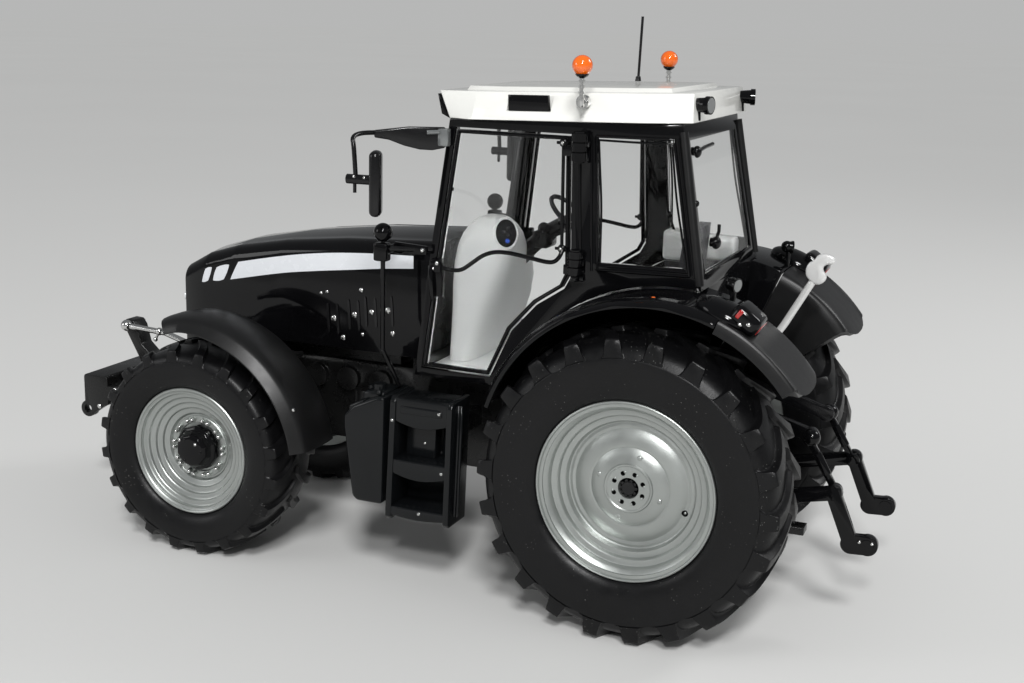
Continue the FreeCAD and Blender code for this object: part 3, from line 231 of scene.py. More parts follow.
def glassPane():
    material, tree, shader, spot = startMaterial("clearPane")
    feed(tree, shader, {
        "Roughness": rangeOf(tree, noiseOf(tree, spot, 70.0, 4.0), 0.0, 1.0, 0.01, 0.06),
        "Base Color": (0.985, 0.99, 0.99, 1), "Transmission Weight": 1.0, "IOR": 1.1, "Specular IOR Level": 0.5,
    })
    return material


dust = {"scale": 1500.0, "size": 0.12, "colour": (0.22, 0.22, 0.21), "patch": 160.0, "patchEdge": (0.52, 0.60)}
finishLooks = {
    # colour, its variation, roughness from and to, and what differs from the usual surface
    "blackGloss": [(0.0026, 0.0026, 0.003), 0.2, (0.05, 0.09),
                   {"grain": 900, "grainDepth": 0.000003, "specular": 0.26}],
    "whiteGloss": [(0.80, 0.80, 0.765), 0.02, (0.18, 0.26), {"coat": 0.4, "grain": 900, "grainDepth": 0.000004}],
    "silverRim": [(0.40, 0.42, 0.405), 0.06, (0.34, 0.42),
                  {"metallic": 0.85, "coat": 0.15, "grain": 6500, "grainDepth": 0.000014}],
    "castBlack": [(0.005, 0.005, 0.005), 0.25, (0.22, 0.36), {"grain": 3500, "specular": 0.4}],
    "darkTrim": [(0.007, 0.007, 0.0072), 0.10, (0.32, 0.38),
                 {"grain": 5200, "grainDepth": 0.000015, "specular": 0.34}],
    "blackTrim": [(0.004, 0.004, 0.0045), 0.2, (0.16, 0.26),
                  {"grain": 3000, "grainDepth": 0.00001, "specular": 0.4}],
    "satinTrim": [(0.0046, 0.0052, 0.0058), 0.12, (0.14, 0.22),
                  {"grain": 5200, "grainDepth": 0.000008, "specular": 0.30}],
    "paleTrim": [(0.93, 0.94, 0.93), 0.03, (0.35, 0.5), {"grain": 4500}],
    "seatTrim": [(0.040, 0.040, 0.045), 0.2, (0.6, 0.8), {"grain": 2600, "grainDepth": 0.00006}],
    "tyreRubber": [(0.0034, 0.0034, 0.0038), 0.18, (0.32, 0.44),
                   {"grain": 3000, "blotch": 140, "specular": 0.27, "specks": dust}],
    "amber": [(0.85, 0.14, 0.006), 0.1, (0.05, 0.12), {"coat": 1.0}],
    "redLens": [(0.34, 0.006, 0.005), 0.1, (0.05, 0.12), {"coat": 1.0}],
    "lampDim": [(0.20, 0.21, 0.21), 0.15, (0.06, 0.12), {"metallic": 0.4, "coat": 1.0}],
    "lampClear": [(0.75, 0.77, 0.78), 0.05, (0.05, 0.1), {"metallic": 0.3, "coat": 1.0}],
    "bright": [(0.66, 0.66, 0.65), 0.05, (0.12, 0.22), {"metallic": 1.0}],
    "brightWhite": [(0.78, 0.78, 0.77), 0.03, (0.2, 0.3), {"metallic": 0.3}],
    "stripeWhite": [(0.70, 0.72, 0.75), 0.02, (0.22, 0.3), {"grain": 900, "grainDepth": 0.000002}],
    # flat near-black for the walls and floors of the rim's holes: painted shade in the holes
    "deepBlack": [(0.002, 0.002, 0.002), 0.2, (0.5, 0.6), {"specular": 0.2}],
    "blueSpot": [(0.03, 0.08, 0.45), 0.1, (0.2, 0.3), {}],
}
finishOfSlot = {
    "black_paint": "blackGloss", "white_paint": "whiteGloss", "silver_paint": "silverRim",
    "chassis_paint": "castBlack", "trim_plastic": "darkTrim", "black_plastic": "blackTrim",
    "interior_plastic": "paleTrim", "seat_plastic": "seatTrim", "tyre_rubber": "tyreRubber",
    "clear_glass": "clearPane", "lamp_lens": "lampClear", "amber_lens": "amber", "bright_metal": "bright",
}


def makeFinishes():
    for name, (colour, variation, roughness, rest) in finishLooks.items():
        finishes[name] = surface(name, colour, variation, roughness, **rest)
    finishes["clearPane"] = glassPane()
    for name, node in frame["nodes"].items():
        node.data.materials.clear()
        node.data.materials.append(finishes[finishOfSlot[nodeSlots[name]]])


# shared ways of shaping

def onlyKind(found, kind):
    return [g for g in found if isinstance(g, kind)]


def paintNew(bm, before, finish):
    for face in bm.faces:
        if face not in before:
            face.material_index = finish


def roundEdges(bm, edges, offset, segments):
    bmesh.ops.bevel(bm, geom=edges, offset=offset, offset_type="OFFSET", segments=segments, profile=0.5,
                    affect="EDGES", material=-1, clamp_overlap=True)


def toFrame(bm):
    bmesh.ops.scale(bm, vec=(mm, mm, mm), verts=bm.verts)
    bmesh.ops.translate(bm, vec=(rearAxleX * mm, 0, 0), verts=bm.verts)


def linkPiece(name, mesh, looks, node, smooth=32):
    # a finished mesh becomes a piece that rides as the CAD node does
    for look in looks.split():
        mesh.materials.append(finishes[look])
    mesh.shade_smooth()
    mesh.set_sharp_from_angle(angle=math.radians(smooth))
    piece = addObject(name, mesh)
    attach(piece, bodyOfNode[node])
    return piece


def settle(name, bm, looks, node, stands=True, smooth=32):
    # a shape in mm from the rear axle goes to its place in the frame, and stands for the CAD node or adds to it
    bmesh.ops.remove_doubles(bm, verts=bm.verts, dist=0.0005)
    bmesh.ops.recalc_face_normals(bm, faces=bm.faces)
    toFrame(bm)
    piece = linkPiece(name, meshFrom(name, bm), looks, node, smooth)
    if stands:
        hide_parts(node)
    return piece


def softened(node, look, width, smooth=40):
    # the CAD node's own shape with its doubles merged and its edges eased
    bm = bmesh.new()
    bm.from_mesh(frame["nodes"][node].data)
    bmesh.ops.remove_doubles(bm, verts=bm.verts, dist=0.000002)
    bmesh.ops.dissolve_limit(bm, angle_limit=math.radians(1.0), verts=bm.verts, edges=bm.edges)
    piece = linkPiece(node + "Eased", meshFrom(node + "Eased", bm), look, node, smooth)
    ease = piece.modifiers.new("ease", "BEVEL")
    ease.width = width * mm
    ease.segments = 2
    ease.limit_method = "ANGLE"
    ease.angle_limit = math.radians(28)
    ease.use_clamp_overlap = True
    ease.harden_normals = False
    bakeModifiers(piece)
    piece.data.set_sharp_from_angle(angle=math.radians(smooth))
    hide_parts(node)


def bakeModifiers(piece):
    bpy.context.view_layer.update()
    mesh = bpy.data.meshes.new_from_object(piece.evaluated_get(bpy.context.evaluated_depsgraph_get()))
    old = piece.data
    piece.modifiers.clear()
    piece.data = mesh
    bpy.data.meshes.remove(old)


def standing(spot, way):
    # the place where a shape's own Z axis points the given way
    return Matrix.Translation(spot) @ way.to_track_quat("Z", "Y").to_matrix().to_4x4()


def yTurn(degrees, size=4):
    return Matrix.Rotation(math.radians(degrees), size, "Y")


def spun(bm, geom, degrees, steps, merge=True, centre=origin, axis=(0, 1, 0)):
    return bmesh.ops.spin(bm, geom=geom, cent=centre, axis=axis, dvec=(0, 0, 0), angle=math.radians(degrees),
                          steps=steps, use_merge=merge, use_duplicate=False)


def spinProfile(bm, profile, steps, closed=False):
    # a profile of radius and y turned about the Y axis
    ring = [bm.verts.new((0, y, r)) for r, y in profile]
    edges = [bm.edges.new(pair) for pair in zip(ring, ring[1:])]
    if closed:
        edges.append(bm.edges.new((ring[-1], ring[0])))
    spun(bm, ring + edges, 360, steps)


def sweptSection(bm, section, start, end, steps):
    # a closed section of radius and y swept about the Y axis between two angles in degrees
    ring = [bm.verts.new((0, y, r)) for r, y in section]
    edges = [bm.edges.new(pair) for pair in zip(ring, ring[1:] + ring[:1])]
    bmesh.ops.rotate(bm, cent=origin, matrix=yTurn(90 - start, 3), verts=ring)
    bm.faces.new(ring)
    made = spun(bm, ring + edges, start - end, steps, merge=False)
    bmesh.ops.contextual_create(bm, geom=onlyKind(made["geom_last"], bmesh.types.BMEdge))


def turnedRod(bm, start, end, radius, endRadius=None, segments=20, finish=0):
    # a round bar or cone between two points
    a, b = Vector(start), Vector(end)
    before = set(bm.faces)
    bmesh.ops.create_cone(bm, cap_ends=True, cap_tris=False, segments=segments, radius1=radius,
                          radius2=radius if endRadius is None else endRadius, depth=(b - a).length,
                          matrix=standing((a + b) / 2, b - a))
    paintNew(bm, before, finish)


def ballAt(bm, centre, radius, finish=0, rings=16, squashed=(1, 1, 1)):
    before = set(bm.faces)
    place = Matrix.Translation(Vector(centre)) @ Matrix.Diagonal((*squashed, 1))
    bmesh.ops.create_uvsphere(bm, u_segments=2 * rings, v_segments=rings, radius=radius, matrix=place)
    paintNew(bm, before, finish)


def dotsAt(bm, spots, radius, flat=1.0, rings=8, finish=1):
    # small studs or dots on the flank, flat across it
    for spot in spots:
        ballAt(bm, spot, radius, finish, rings, (1, flat, 1))


def blockAt(bm, x, y, z, edge=0.15, finish=0, segments=2, turn=None):
    # a block between two values on each axis, its edges rounded, then turned to its place
    before = set(bm.faces)
    middle = ((x[0] + x[1]) / 2, (y[0] + y[1]) / 2, (z[0] + z[1]) / 2)
    size = Matrix.Diagonal((x[1] - x[0], y[1] - y[0], z[1] - z[0], 1))
    made = bmesh.ops.create_cube(bm, size=1.0, matrix=(turn or Matrix()) @ Matrix.Translation(middle) @ size)
    roundEdges(bm, list({e for v in made["verts"] for e in v.link_edges}), edge, segments)
    paintNew(bm, before, finish)


def plateAt(bm, points, start, end, edge=0.12, segments=2, acrossX=False):
    # an outline in x and z pushed out along y, or in y and z along x, its edges rounded
    before = set(bm.faces)
    face = bm.faces.new([bm.verts.new((start, a, b) if acrossX else (a, start, b)) for a, b in points])
    pushed = bmesh.ops.extrude_face_region(bm, geom=[face], use_keep_orig=True)
    way = (end - start, 0, 0) if acrossX else (0, end - start, 0)
    bmesh.ops.translate(bm, vec=way, verts=onlyKind(pushed["geom"], bmesh.types.BMVert))
    made = [f for f in bm.faces if f not in before]
    bmesh.ops.recalc_face_normals(bm, faces=made)
    roundEdges(bm, list({e for f in made for e in f.edges if e.calc_face_angle(0) > 0.5}), edge, segments)


def roundedOutline(points):
    # a closed outline with its corners cut
    return [(a[0] + (b[0] - a[0]) * t, a[1] + (b[1] - a[1]) * t)
            for a, b in zip(points, points[1:] + points[:1]) for t in (0.25, 0.75)]


def tubeAlong(bm, points, radius, segments=14, finish=0, rounding=0):
    # a round tube through points; its corners are cut as many times as rounding says
    path = [Vector(p) for p in points]
    for turn in range(rounding):
        cut = [path[0]]
        for a, b in zip(path, path[1:]):
            cut += [a.lerp(b, 0.25), a.lerp(b, 0.75)]
        path = [path[0]] + cut[2:-1] + [path[-1]] if len(path) > 2 else path
    before = set(bm.faces)
    loops = []
    side = None
    last = len(path) - 1
    for i, spot in enumerate(path):
        ahead = path[min(i + 1, last)] - path[max(i - 1, 0)]
        ahead.normalize()
        if side is None:
            side = ahead.orthogonal().normalized()
        side = (side - ahead * side.dot(ahead)).normalized()
        place = Matrix.Translation(spot) @ Matrix((side, ahead.cross(side), ahead)).transposed().to_4x4()
        made = bmesh.ops.create_circle(bm, cap_ends=i in (0, last), segments=segments, radius=radius, matrix=place)
        loops.append(list({e for v in made["verts"] for e in v.link_edges}))
    bridge(bm, loops)
    paintNew(bm, before, finish)


def bridge(bm, loops):
    for a, b in zip(loops, loops[1:]):
        bmesh.ops.bridge_loops(bm, edges=a + b)


def flip(bm, side=-1):
    # to the right side, for a piece made twice
    if side < 0:
        bmesh.ops.scale(bm, vec=flipped, verts=bm.verts)


def copied(bm, geom):
    # the vertices and faces of a copy
    made = bmesh.ops.duplicate(bm, geom=geom)["geom"]
    return onlyKind(made, bmesh.types.BMVert), onlyKind(made, bmesh.types.BMFace)


def mirrorAcross(bm):
    # the same shapes again on the right side
    verts, faces = copied(bm, bm.verts[:] + bm.edges[:] + bm.faces[:])
    bmesh.ops.scale(bm, vec=flipped, verts=verts)
    bmesh.ops.reverse_faces(bm, faces=faces)


def between(a, b, t):
    # the place a share of the way from a to b
    return [p * (1 - t) + q * t for p, q in zip(a, b)]


def ringSpots(count, radius, first=0.0):
    # x and z of places spread evenly round a wheel's axle
    turns = [math.radians(first + 360 / count * k) for k in range(count)]
    return [(radius * math.cos(a), radius * math.sin(a)) for a in turns]


def share(table, x):
    # a value read between the rows of a table of x and value
    if x <= table[0][0]:
        return table[0][1]
    for (x0, v0), (x1, v1) in zip(table, table[1:]):
        if x <= x1:
            return v0 + (v1 - v0) * (x - x0) / (x1 - x0)
    return table[-1][1]


def eased(table, x):
    # the same, on a smooth curve through the rows
    if x <= table[0][0]:
        return table[0][1]
    if x >= table[-1][0]:
        return table[-1][1]
    i = max(k for k in range(len(table) - 1) if table[k][0] <= x)
    (x1, p1), (x2, p2) = table[i], table[i + 1]
    x0, p0 = table[max(i - 1, 0)]
    x3, p3 = table[min(i + 2, len(table) - 1)]
    m1 = (p2 - p0) / (x2 - x0)
    m2 = (p3 - p1) / (x3 - x1)
    d = x2 - x1
    t = (x - x1) / d
    return ((2 * t ** 3 - 3 * t ** 2 + 1) * p1 + (t ** 3 - 2 * t ** 2 + t) * d * m1
            + (-2 * t ** 3 + 3 * t ** 2) * p2 + (t ** 3 - t ** 2) * d * m2)


# tyres

rearTyre = {
    "radius": 30.0, "half": 9.75, "lugs": 22, "lugHeight": 1.4, "steps": 176,
    "place": (0.0, 29.0, 30.0),
    # radius and y of the sidewall, from the rim to the shoulder
    "sidewall": [(16.45, 7.8), (17.58, 7.82), (17.72, 8.2), (18.15, 8.62), (19.1, 9.08), (20.6, 9.45), (22.4, 9.66),
                 (24.2, 9.74), (25.4, 9.74), (25.65, 9.70)],
    # share of the half width, depth below the crown of the tread between the lugs
    "floor": [(0.0, 1.0), (0.35, 1.05), (0.56, 1.25), (0.76, 1.8), (0.88, 2.5), (0.95, 3.35), (0.985, 4.2)],
    "turn": (0.043, -0.40, 0.175),     # how the lug leads round the tyre, by share of the half width
    "lugHalf": (0.037, 0.011),
}
frontTyre = {
    "radius": 23.0, "half": 8.4, "lugs": 20, "lugHeight": 1.2, "steps": 160,
    "place": (wheelbase, 27.6, 23.0),
    "sidewall": [(12.85, 6.45), (13.98, 6.47), (14.1, 6.85), (14.5, 7.3), (15.3, 7.75), (16.4, 8.1), (17.6, 8.32),
                 (18.6, 8.39), (19.2, 8.39), (19.4, 8.35)],
    "floor": [(0.0, 0.75), (0.35, 0.8), (0.56, 0.95), (0.76, 1.35), (0.88, 1.75), (0.95, 2.3), (0.985, 3.1)],
    "turn": (0.043, -0.40, 0.175),
    "lugHalf": (0.037, 0.011),
}
lugShape = {
    # share of the half width, depth of the top below the crown, how far it stands of the full height, widening
    "along": [
        (0.000, 0.00, -0.15, 1.0), (0.012, 0.00, 0.55, 1.0), (0.022, 0.00, 0.93, 1.0), (0.040, 0.00, 1.0, 1.0),
        (0.12, 0.00, 1.0, 1.0), (0.22, 0.01, 1.0, 1.0), (0.32, 0.02, 1.0, 1.0), (0.42, 0.04, 1.0, 1.0),
        (0.52, 0.08, 1.0, 1.0), (0.62, 0.15, 1.0, 1.0), (0.72, 0.26, 1.0, 1.0), (0.82, 0.42, 1.0, 1.0),
        (0.90, 0.60, 1.0, 1.0), (0.925, 0.68, 1.0, 1.0), (0.943, 0.80, 1.0, 1.02), (0.952, 1.02, 1.0, 1.05),
        (0.966, 1.75, 1.0, 1.12), (0.982, 2.60, 1.0, 1.24), (0.994, 3.60, 1.0, 1.40), (1.000, 4.10, 1.0, 1.50),
    ],
    # offset across in half widths, share of the height
    "across": [(-1.80, -0.18), (-1.34, 0.05), (-1.13, 0.34), (-1.02, 0.86), (-0.90, 1.0), (0.0, 1.0),
               (0.90, 1.0), (1.02, 0.86), (1.13, 0.34), (1.34, 0.05), (1.80, -0.18)],
}
tyreCore = 0.78  # share of the radius where the middle of a tyre's section lies


def lugPoint(t, station, cross):
    s, topDrop, rise, wide = station
    v, h = cross
    floor = share(t["floor"], s)
    height = max(floor - topDrop, 0.0)
    a, b, c = t["turn"]
    angle = a + b * s + c * s * s + v * (t["lugHalf"][0] + t["lugHalf"][1] * s) * wide
    level = h if rise >= 1.0 else min(h, rise)
    radius = t["radius"] - floor + level * height
    if level < 0:
        radius = t["radius"] - floor + level * t["lugHeight"]
    return Vector((radius * math.sin(angle), s * t["half"], radius * math.cos(angle)))


def tyreMesh(t):
    bm = bmesh.new()
    tread = [(t["radius"] - depth, s * t["half"]) for s, depth in reversed(t["floor"])]
    outer = t["sidewall"] + tread
    spinProfile(bm, outer + [(r, -y) for r, y in reversed(outer[:-1])], t["steps"], closed=True)
    along, across = lugShape["along"], lugShape["across"]
    rows, columns = len(along) - 1, len(across) - 1
    made = bmesh.ops.create_grid(bm, x_segments=rows, y_segments=columns, size=1.0)
    for v in made["verts"]:
        v.co = lugPoint(t, along[round((v.co.x + 1) / 2 * rows)], across[round((v.co.y + 1) / 2 * columns)])
    lug = list({f for v in made["verts"] for f in v.link_faces})
    pitch = 360 / t["lugs"]
    verts, otherLug = copied(bm, lug)
    bmesh.ops.scale(bm, vec=flipped, verts=verts)
    bmesh.ops.rotate(bm, cent=origin, matrix=yTurn(pitch / 2, 3), verts=verts)
    for k in range(1, t["lugs"]):
        bmesh.ops.rotate(bm, cent=origin, matrix=yTurn(pitch * k, 3), verts=copied(bm, lug + otherLug)[0])
    return bm


def placeWheel(bm, place, side):
    x, y, z = place
    flip(bm, side)
    bmesh.ops.translate(bm, vec=(x, side * y, z), verts=bm.verts)


def makeTyres():
    for t, node in ((rearTyre, "rear_tyre_"), (frontTyre, "front_tyre_")):
        for side, word in sides:
            bm = tyreMesh(t)
            for f in bm.faces:
                # outwards from the middle of the section
                centre = f.calc_center_median()
                core = Vector((centre.x, 0, centre.z)).normalized() * (t["radius"] * tyreCore)
                if f.normal.dot(centre - core) < 0:
                    f.normal_flip()
            placeWheel(bm, t["place"], side)
            if side < 0:
                bmesh.ops.reverse_faces(bm, faces=bm.faces)
            toFrame(bm)
            name = node + word
            piece = linkPiece(name + "Lugged", meshFrom(name + "Lugged", bm), "tyreRubber", name, 38)
            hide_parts(name)


# rims and hubs

rearRim = {
    "place": (0.0, 29.0, 30.0),
    # radius and y of the outer face from the axle outwards
    "face": [(1.95, 5.1), (2.05, 5.35), (4.2, 5.38), (4.4, 5.55), (4.65, 5.55), (4.85, 5.3), (6.0, 5.0), (7.2, 4.62),
             (7.45, 4.42), (7.65, 4.32), (7.9, 4.4), (8.1, 4.42), (10.6, 3.68), (10.9, 3.46), (11.15, 3.38),
             (11.45, 3.44), (11.7, 3.52), (12.2, 3.38), (12.45, 3.5), (12.72, 4.2), (12.85, 4.36), (13.6, 4.42),
             (13.85, 4.52), (14.05, 5.25), (14.2, 5.42), (15.0, 5.52), (15.25, 5.64), (15.45, 6.6), (15.6, 6.8),
             (16.5, 7.55), (16.72, 7.62), (16.82, 7.58), (16.92, 7.95), (17.08, 8.26), (17.25, 8.34), (17.42, 8.26),
             (17.5, 8.05), (17.5, 7.83)],
    "back": [(16.3, 7.83), (16.3, -7.85), (17.5, -7.85), (17.5, -8.34), (15.4, -8.34), (15.2, 1.9),
             (3.4, 2.6), (3.4, -3.2), (1.95, -3.2)],
    # on a ring: count, its radius, turn of the first in degrees; across: y from and to, radius
    "holes": (8, 3.0, 22.5), "holeCut": (4.4, 6.4, 0.46),
    "valve": (1, 11.3, 200.0), "valveCut": (2.4, 5.0, 0.62), "valveStem": (2.5, 3.1, 0.2),
    # ring, y, radius, flatness and fineness
    "studs": [((8, 3.15, 31.5), 5.34, 0.26, 0.7, 8), ((4, 6.2, 17.0), 4.82, 0.55, 0.55, 10)],
    "shaftEnd": [(0.0, 5.4), (1.2, 5.4), (1.35, 5.25), (1.35, 3.6), (0.0, 3.6)],
    "splines": (10, 1.45, 0.0), "spline": (3.7, 5.22, 0.30),
}
frontRim = {
    "place": (wheelbase, 27.6, 23.0),
    "face": [(1.45, 2.5), (7.2, 2.5), (7.35, 2.62), (7.6, 3.1), (7.8, 3.22), (8.55, 3.3), (8.75, 3.42), (8.95, 3.85),
             (9.1, 3.97), (9.85, 4.05), (10.05, 4.17), (10.25, 4.6), (10.4, 4.72), (11.1, 4.8), (11.3, 4.92),
             (11.5, 5.35), (11.65, 5.47), (12.3, 5.56), (12.5, 5.7), (12.75, 6.3), (12.95, 6.55), (13.2, 6.7),
             (13.32, 6.9), (13.5, 7.0), (13.7, 6.98), (13.85, 6.85), (13.9, 6.65), (13.9, 6.5)],
    "back": [(12.7, 6.5), (12.7, -6.5), (13.9, -6.5), (13.9, -7.0), (11.8, -7.0), (11.8, 1.4), (3.0, 1.4),
             (3.0, -0.8), (1.45, -0.8)],
}
frontHub = {
    "place": (wheelbase, 27.6, 23.0),
    "cap": [(0.0, 6.72), (2.6, 6.68), (3.3, 6.5), (3.75, 6.0), (4.1, 5.2), (4.3, 4.7), (4.75, 4.55), (5.0, 4.3),
            (5.0, 2.72), (1.5, 2.72), (1.5, 4.5), (0.0, 4.5)],
    # radius and y of the cap's outer face, for the bright dots on it, which are painted highlights
    "capFace": [(2.6, 6.72), (3.3, 6.45), (3.75, 5.95), (4.1, 5.2)],
    "capHighlightDots": ((2.8, 2.0), (-1.5, 1.7)), "capStuds": (3, 2.6, 60.0), "capTop": 6.62,
    "ring": [(5.4, 2.45), (5.4, 2.85), (5.55, 3.0), (6.75, 3.0), (6.9, 2.85), (6.9, 2.45)],
    # pairs on the ring, its radius, half the turn between two, radius of a stud
    "studs": (10, 6.15, 6.2, 0.60),
}


def rodsAcross(bm, spots, low, high, radius, segments=20, finish=0):
    # round bars along y at places given in x and z
    for x, z in spots:
        turnedRod(bm, (x, low, z), (x, high, z), radius, segments=segments, finish=finish)


def makeRims():
    for side, word in sides:
        r, node = rearRim, "rear_rim_" + word
        bm = bmesh.new()
        spinProfile(bm, r["face"] + r["back"], 144, closed=True)
        placeWheel(bm, r["place"], side)
        rim = settle(node + "Turned", bm, "silverRim deepBlack", node, smooth=26)
        cut = bmesh.new()
        # the holes' walls and floors take the second finish, near-black: painted shade in the recesses
        rodsAcross(cut, ringSpots(*r["holes"]), *r["holeCut"], finish=1)
        valve = ringSpots(*r["valve"])
        rodsAcross(cut, valve, *r["valveCut"], segments=24, finish=1)
        cutHoles(rim, cut, r["place"], side)
        bm = bmesh.new()
        for spots, y, radius, flat, rings in r["studs"]:
            dotsAt(bm, [(x, y, z) for x, z in ringSpots(*spots)], radius, flat, rings, finish=0)
        ballAt(bm, (valve[0][0] + 0.02, 3.15, valve[0][1]), 0.30, rings=8)
        rodsAcross(bm, valve, *r["valveStem"], segments=12)
        placeWheel(bm, r["place"], side)
        settle("rear_bosses_" + word, bm, "silverRim", node, stands=False)
        bm = bmesh.new()
        spinProfile(bm, r["shaftEnd"], 40)
        rodsAcross(bm, ringSpots(*r["splines"]), *r["spline"], segments=8)
        placeWheel(bm, r["place"], side)
        settle("rear_shaft_end_" + word, bm, "blackTrim", node, stands=False)

        bm = bmesh.new()
        spinProfile(bm, frontRim["face"] + frontRim["back"], 128, closed=True)
        placeWheel(bm, frontRim["place"], side)
        settle("front_rim_%sTurned" % word, bm, "silverRim", "front_rim_" + word, smooth=26)


def cutHoles(piece, cut, place, side):
    placeWheel(cut, place, side)
    bmesh.ops.recalc_face_normals(cut, faces=cut.faces)
    toFrame(cut)
    mesh = meshFrom("cutter", cut)
    for finish in piece.data.materials:
        mesh.materials.append(finish)
    cutter = addObject("cutter", mesh)
    drill = piece.modifiers.new("drill", "BOOLEAN")
    drill.operation = "DIFFERENCE"
    drill.solver = "EXACT"
    drill.object = cutter
    bakeModifiers(piece)
    bpy.data.objects.remove(cutter)
    bpy.data.meshes.remove(mesh)


def makeHubs():
    h = frontHub
    for side, word in sides:
        bm = bmesh.new()
        spinProfile(bm, h["cap"], 10)
        roundEdges(bm, [e for e in bm.edges if e.is_manifold and e.calc_face_angle(0) > 0.35], 0.5, 4)
        dotsAt(bm, [(x, h["capTop"], z) for x, z in ringSpots(*h["capStuds"])], 0.36, 0.5, finish=0)
        # bright metal dots on the black cap at its highlight spots: painted highlights
        dotsAt(bm, [(x, share(h["capFace"], math.hypot(x, z)), z) for x, z in h["capHighlightDots"]], 0.40, 0.7)
        placeWheel(bm, h["place"], side)
        settle("front_hub_%sCap" % word, bm, "blackGloss bright", "front_hub_" + word, smooth=40)
        bm = bmesh.new()
        spinProfile(bm, h["ring"], 72, closed=True)
        count, ringRadius, lead, radius = h["studs"]
        for x, z in ringSpots(count, ringRadius, -lead) + ringSpots(count, ringRadius, lead):
            turnedRod(bm, (x, 2.9, z), (x, 3.7, z), radius, radius * 0.86, segments=6)
            ballAt(bm, (x, 3.75, z), radius * 0.72, finish=1, rings=8)
        placeWheel(bm, h["place"], side)
        settle("front_studs_" + word, bm, "silverRim bright", "front_rim_" + word, stands=False)


# shapes laid on a CAD surface

def surfaceOf(mesh):
    # a mesh's surface in mm from the rear axle, to lay thin pieces on it
    corners = [(v.co.x / mm - rearAxleX, v.co.y / mm, v.co.z / mm) for v in mesh.vertices]
    return BVHTree.FromPolygons(corners, [tuple(f.vertices) for f in mesh.polygons])


def flankHit(tree, x, z):
    # where the left flank lies at a place
    return tree.ray_cast(Vector((x, 60, z)), Vector((0, -1, 0)))[0]


def laidSheet(bm, tree, place, columns, rows, lift, thick, rounding=0.0):
    # a thin sheet on the left flank; place gives x and z for shares along and across
    verts = bmesh.ops.create_grid(bm, x_segments=columns, y_segments=rows, size=1.0)["verts"]
    for v in verts:
        a, b = v.co.x, v.co.y
        a, b = a * math.sqrt(1 - rounding * b * b / 2), b * math.sqrt(1 - rounding * a * a / 2)
        x, z = place((a + 1) / 2, (b + 1) / 2)
        hit = flankHit(tree, x, z)
        v.co = Vector((x, (hit.y if hit else bonnetTrim["halfWidth"]) + lift, z))
    faces = list({f for v in verts for f in v.link_faces})
    bmesh.ops.recalc_face_normals(bm, faces=faces)
    bmesh.ops.solidify(bm, geom=faces, thickness=thick)


# bonnet

bonnetTrim = {
    "halfWidth": 14,
    # x and z of the stripe's edges, of the corners of the marks before it, and of the vents
    "upper": [(54.6, 66.3), (65.0, 65.9), (74.0, 65.2), (82.4, 64.1), (90.0, 62.7), (98.4, 60.9)],
    "lower": [(54.6, 63.6), (62.0, 62.9), (70.0, 61.9), (78.0, 60.9), (86.7, 59.6), (100.7, 56.7)],
    "marks": [((105.9, 55.7), (104.6, 59.2), (100.6, 60.3), (102.5, 56.3)),
              ((109.1, 55.0), (107.8, 58.5), (105.7, 59.1), (107.0, 55.6))],
    "vents": [(73.7, 51.0), (68.6, 52.3), (64.5, 53.3), (60.5, 54.1)],
    # x, z and radius of the studs, made large and bright to stand for the highlights on the flank: partly real studs,
    # partly painted highlights
    "studs": [(73.7, 51.0, 0.74), (68.6, 52.3, 0.72), (64.5, 53.3, 0.66), (60.5, 54.1, 0.76), (71.4, 47.0, 0.62),
              (66.7, 48.2, 0.42), (59.4, 49.2, 0.62), (67.0, 57.8, 0.58), (75.4, 56.6, 0.38), (76.9, 56.2, 0.38)],
}


def makeBonnetTrim():
    t = bonnetTrim
    tree = surfaceOf(frame["nodes"]["bonnet"].data)

    def stripe(a, b):
        front = t["lower"][-1][0] + (t["upper"][-1][0] - t["lower"][-1][0]) * b
        x = t["upper"][0][0] + (front - t["upper"][0][0]) * a
        return x, eased(t["lower"], x) * (1 - b) + eased(t["upper"], x) * b

    bm = bmesh.new()
    laidSheet(bm, tree, stripe, 60, 6, 0.05, 0.04)
    for lowFront, highFront, highRear, lowRear in t["marks"]:
        laidSheet(bm, tree, lambda a, b: between(between(lowRear, lowFront, a), between(highRear, highFront, a), b),
                  10, 8, 0.05, 0.04, rounding=0.45)
    mirrorAcross(bm)
    settle("bonnetStripes", bm, "stripeWhite", "bonnet", stands=False, smooth=50)

    bm = bmesh.new()
    for x, z in t["vents"]:
        for rear in (x - 1.45, x + 0.85):
            laidSheet(bm, tree, lambda a, b: (rear + 0.6 * a + 0.4 * b, z - 3.4 + 6.6 * b), 4, 16, 0.12, 0.10,
                      rounding=0.5)
    # bright metal studs, sized as the highlights they stand for: painted highlights on real studs
    for x, z, radius in t["studs"]:
        dotsAt(bm, [(x, flankHit(tree, x, z).y, z)], radius, 0.55)
    mirrorAcross(bm)
    settle("bonnetVentsAndHighlightStuds", bm, "blackTrim bright", "bonnet", stands=False, smooth=50)


# cab windows, door and what is on them

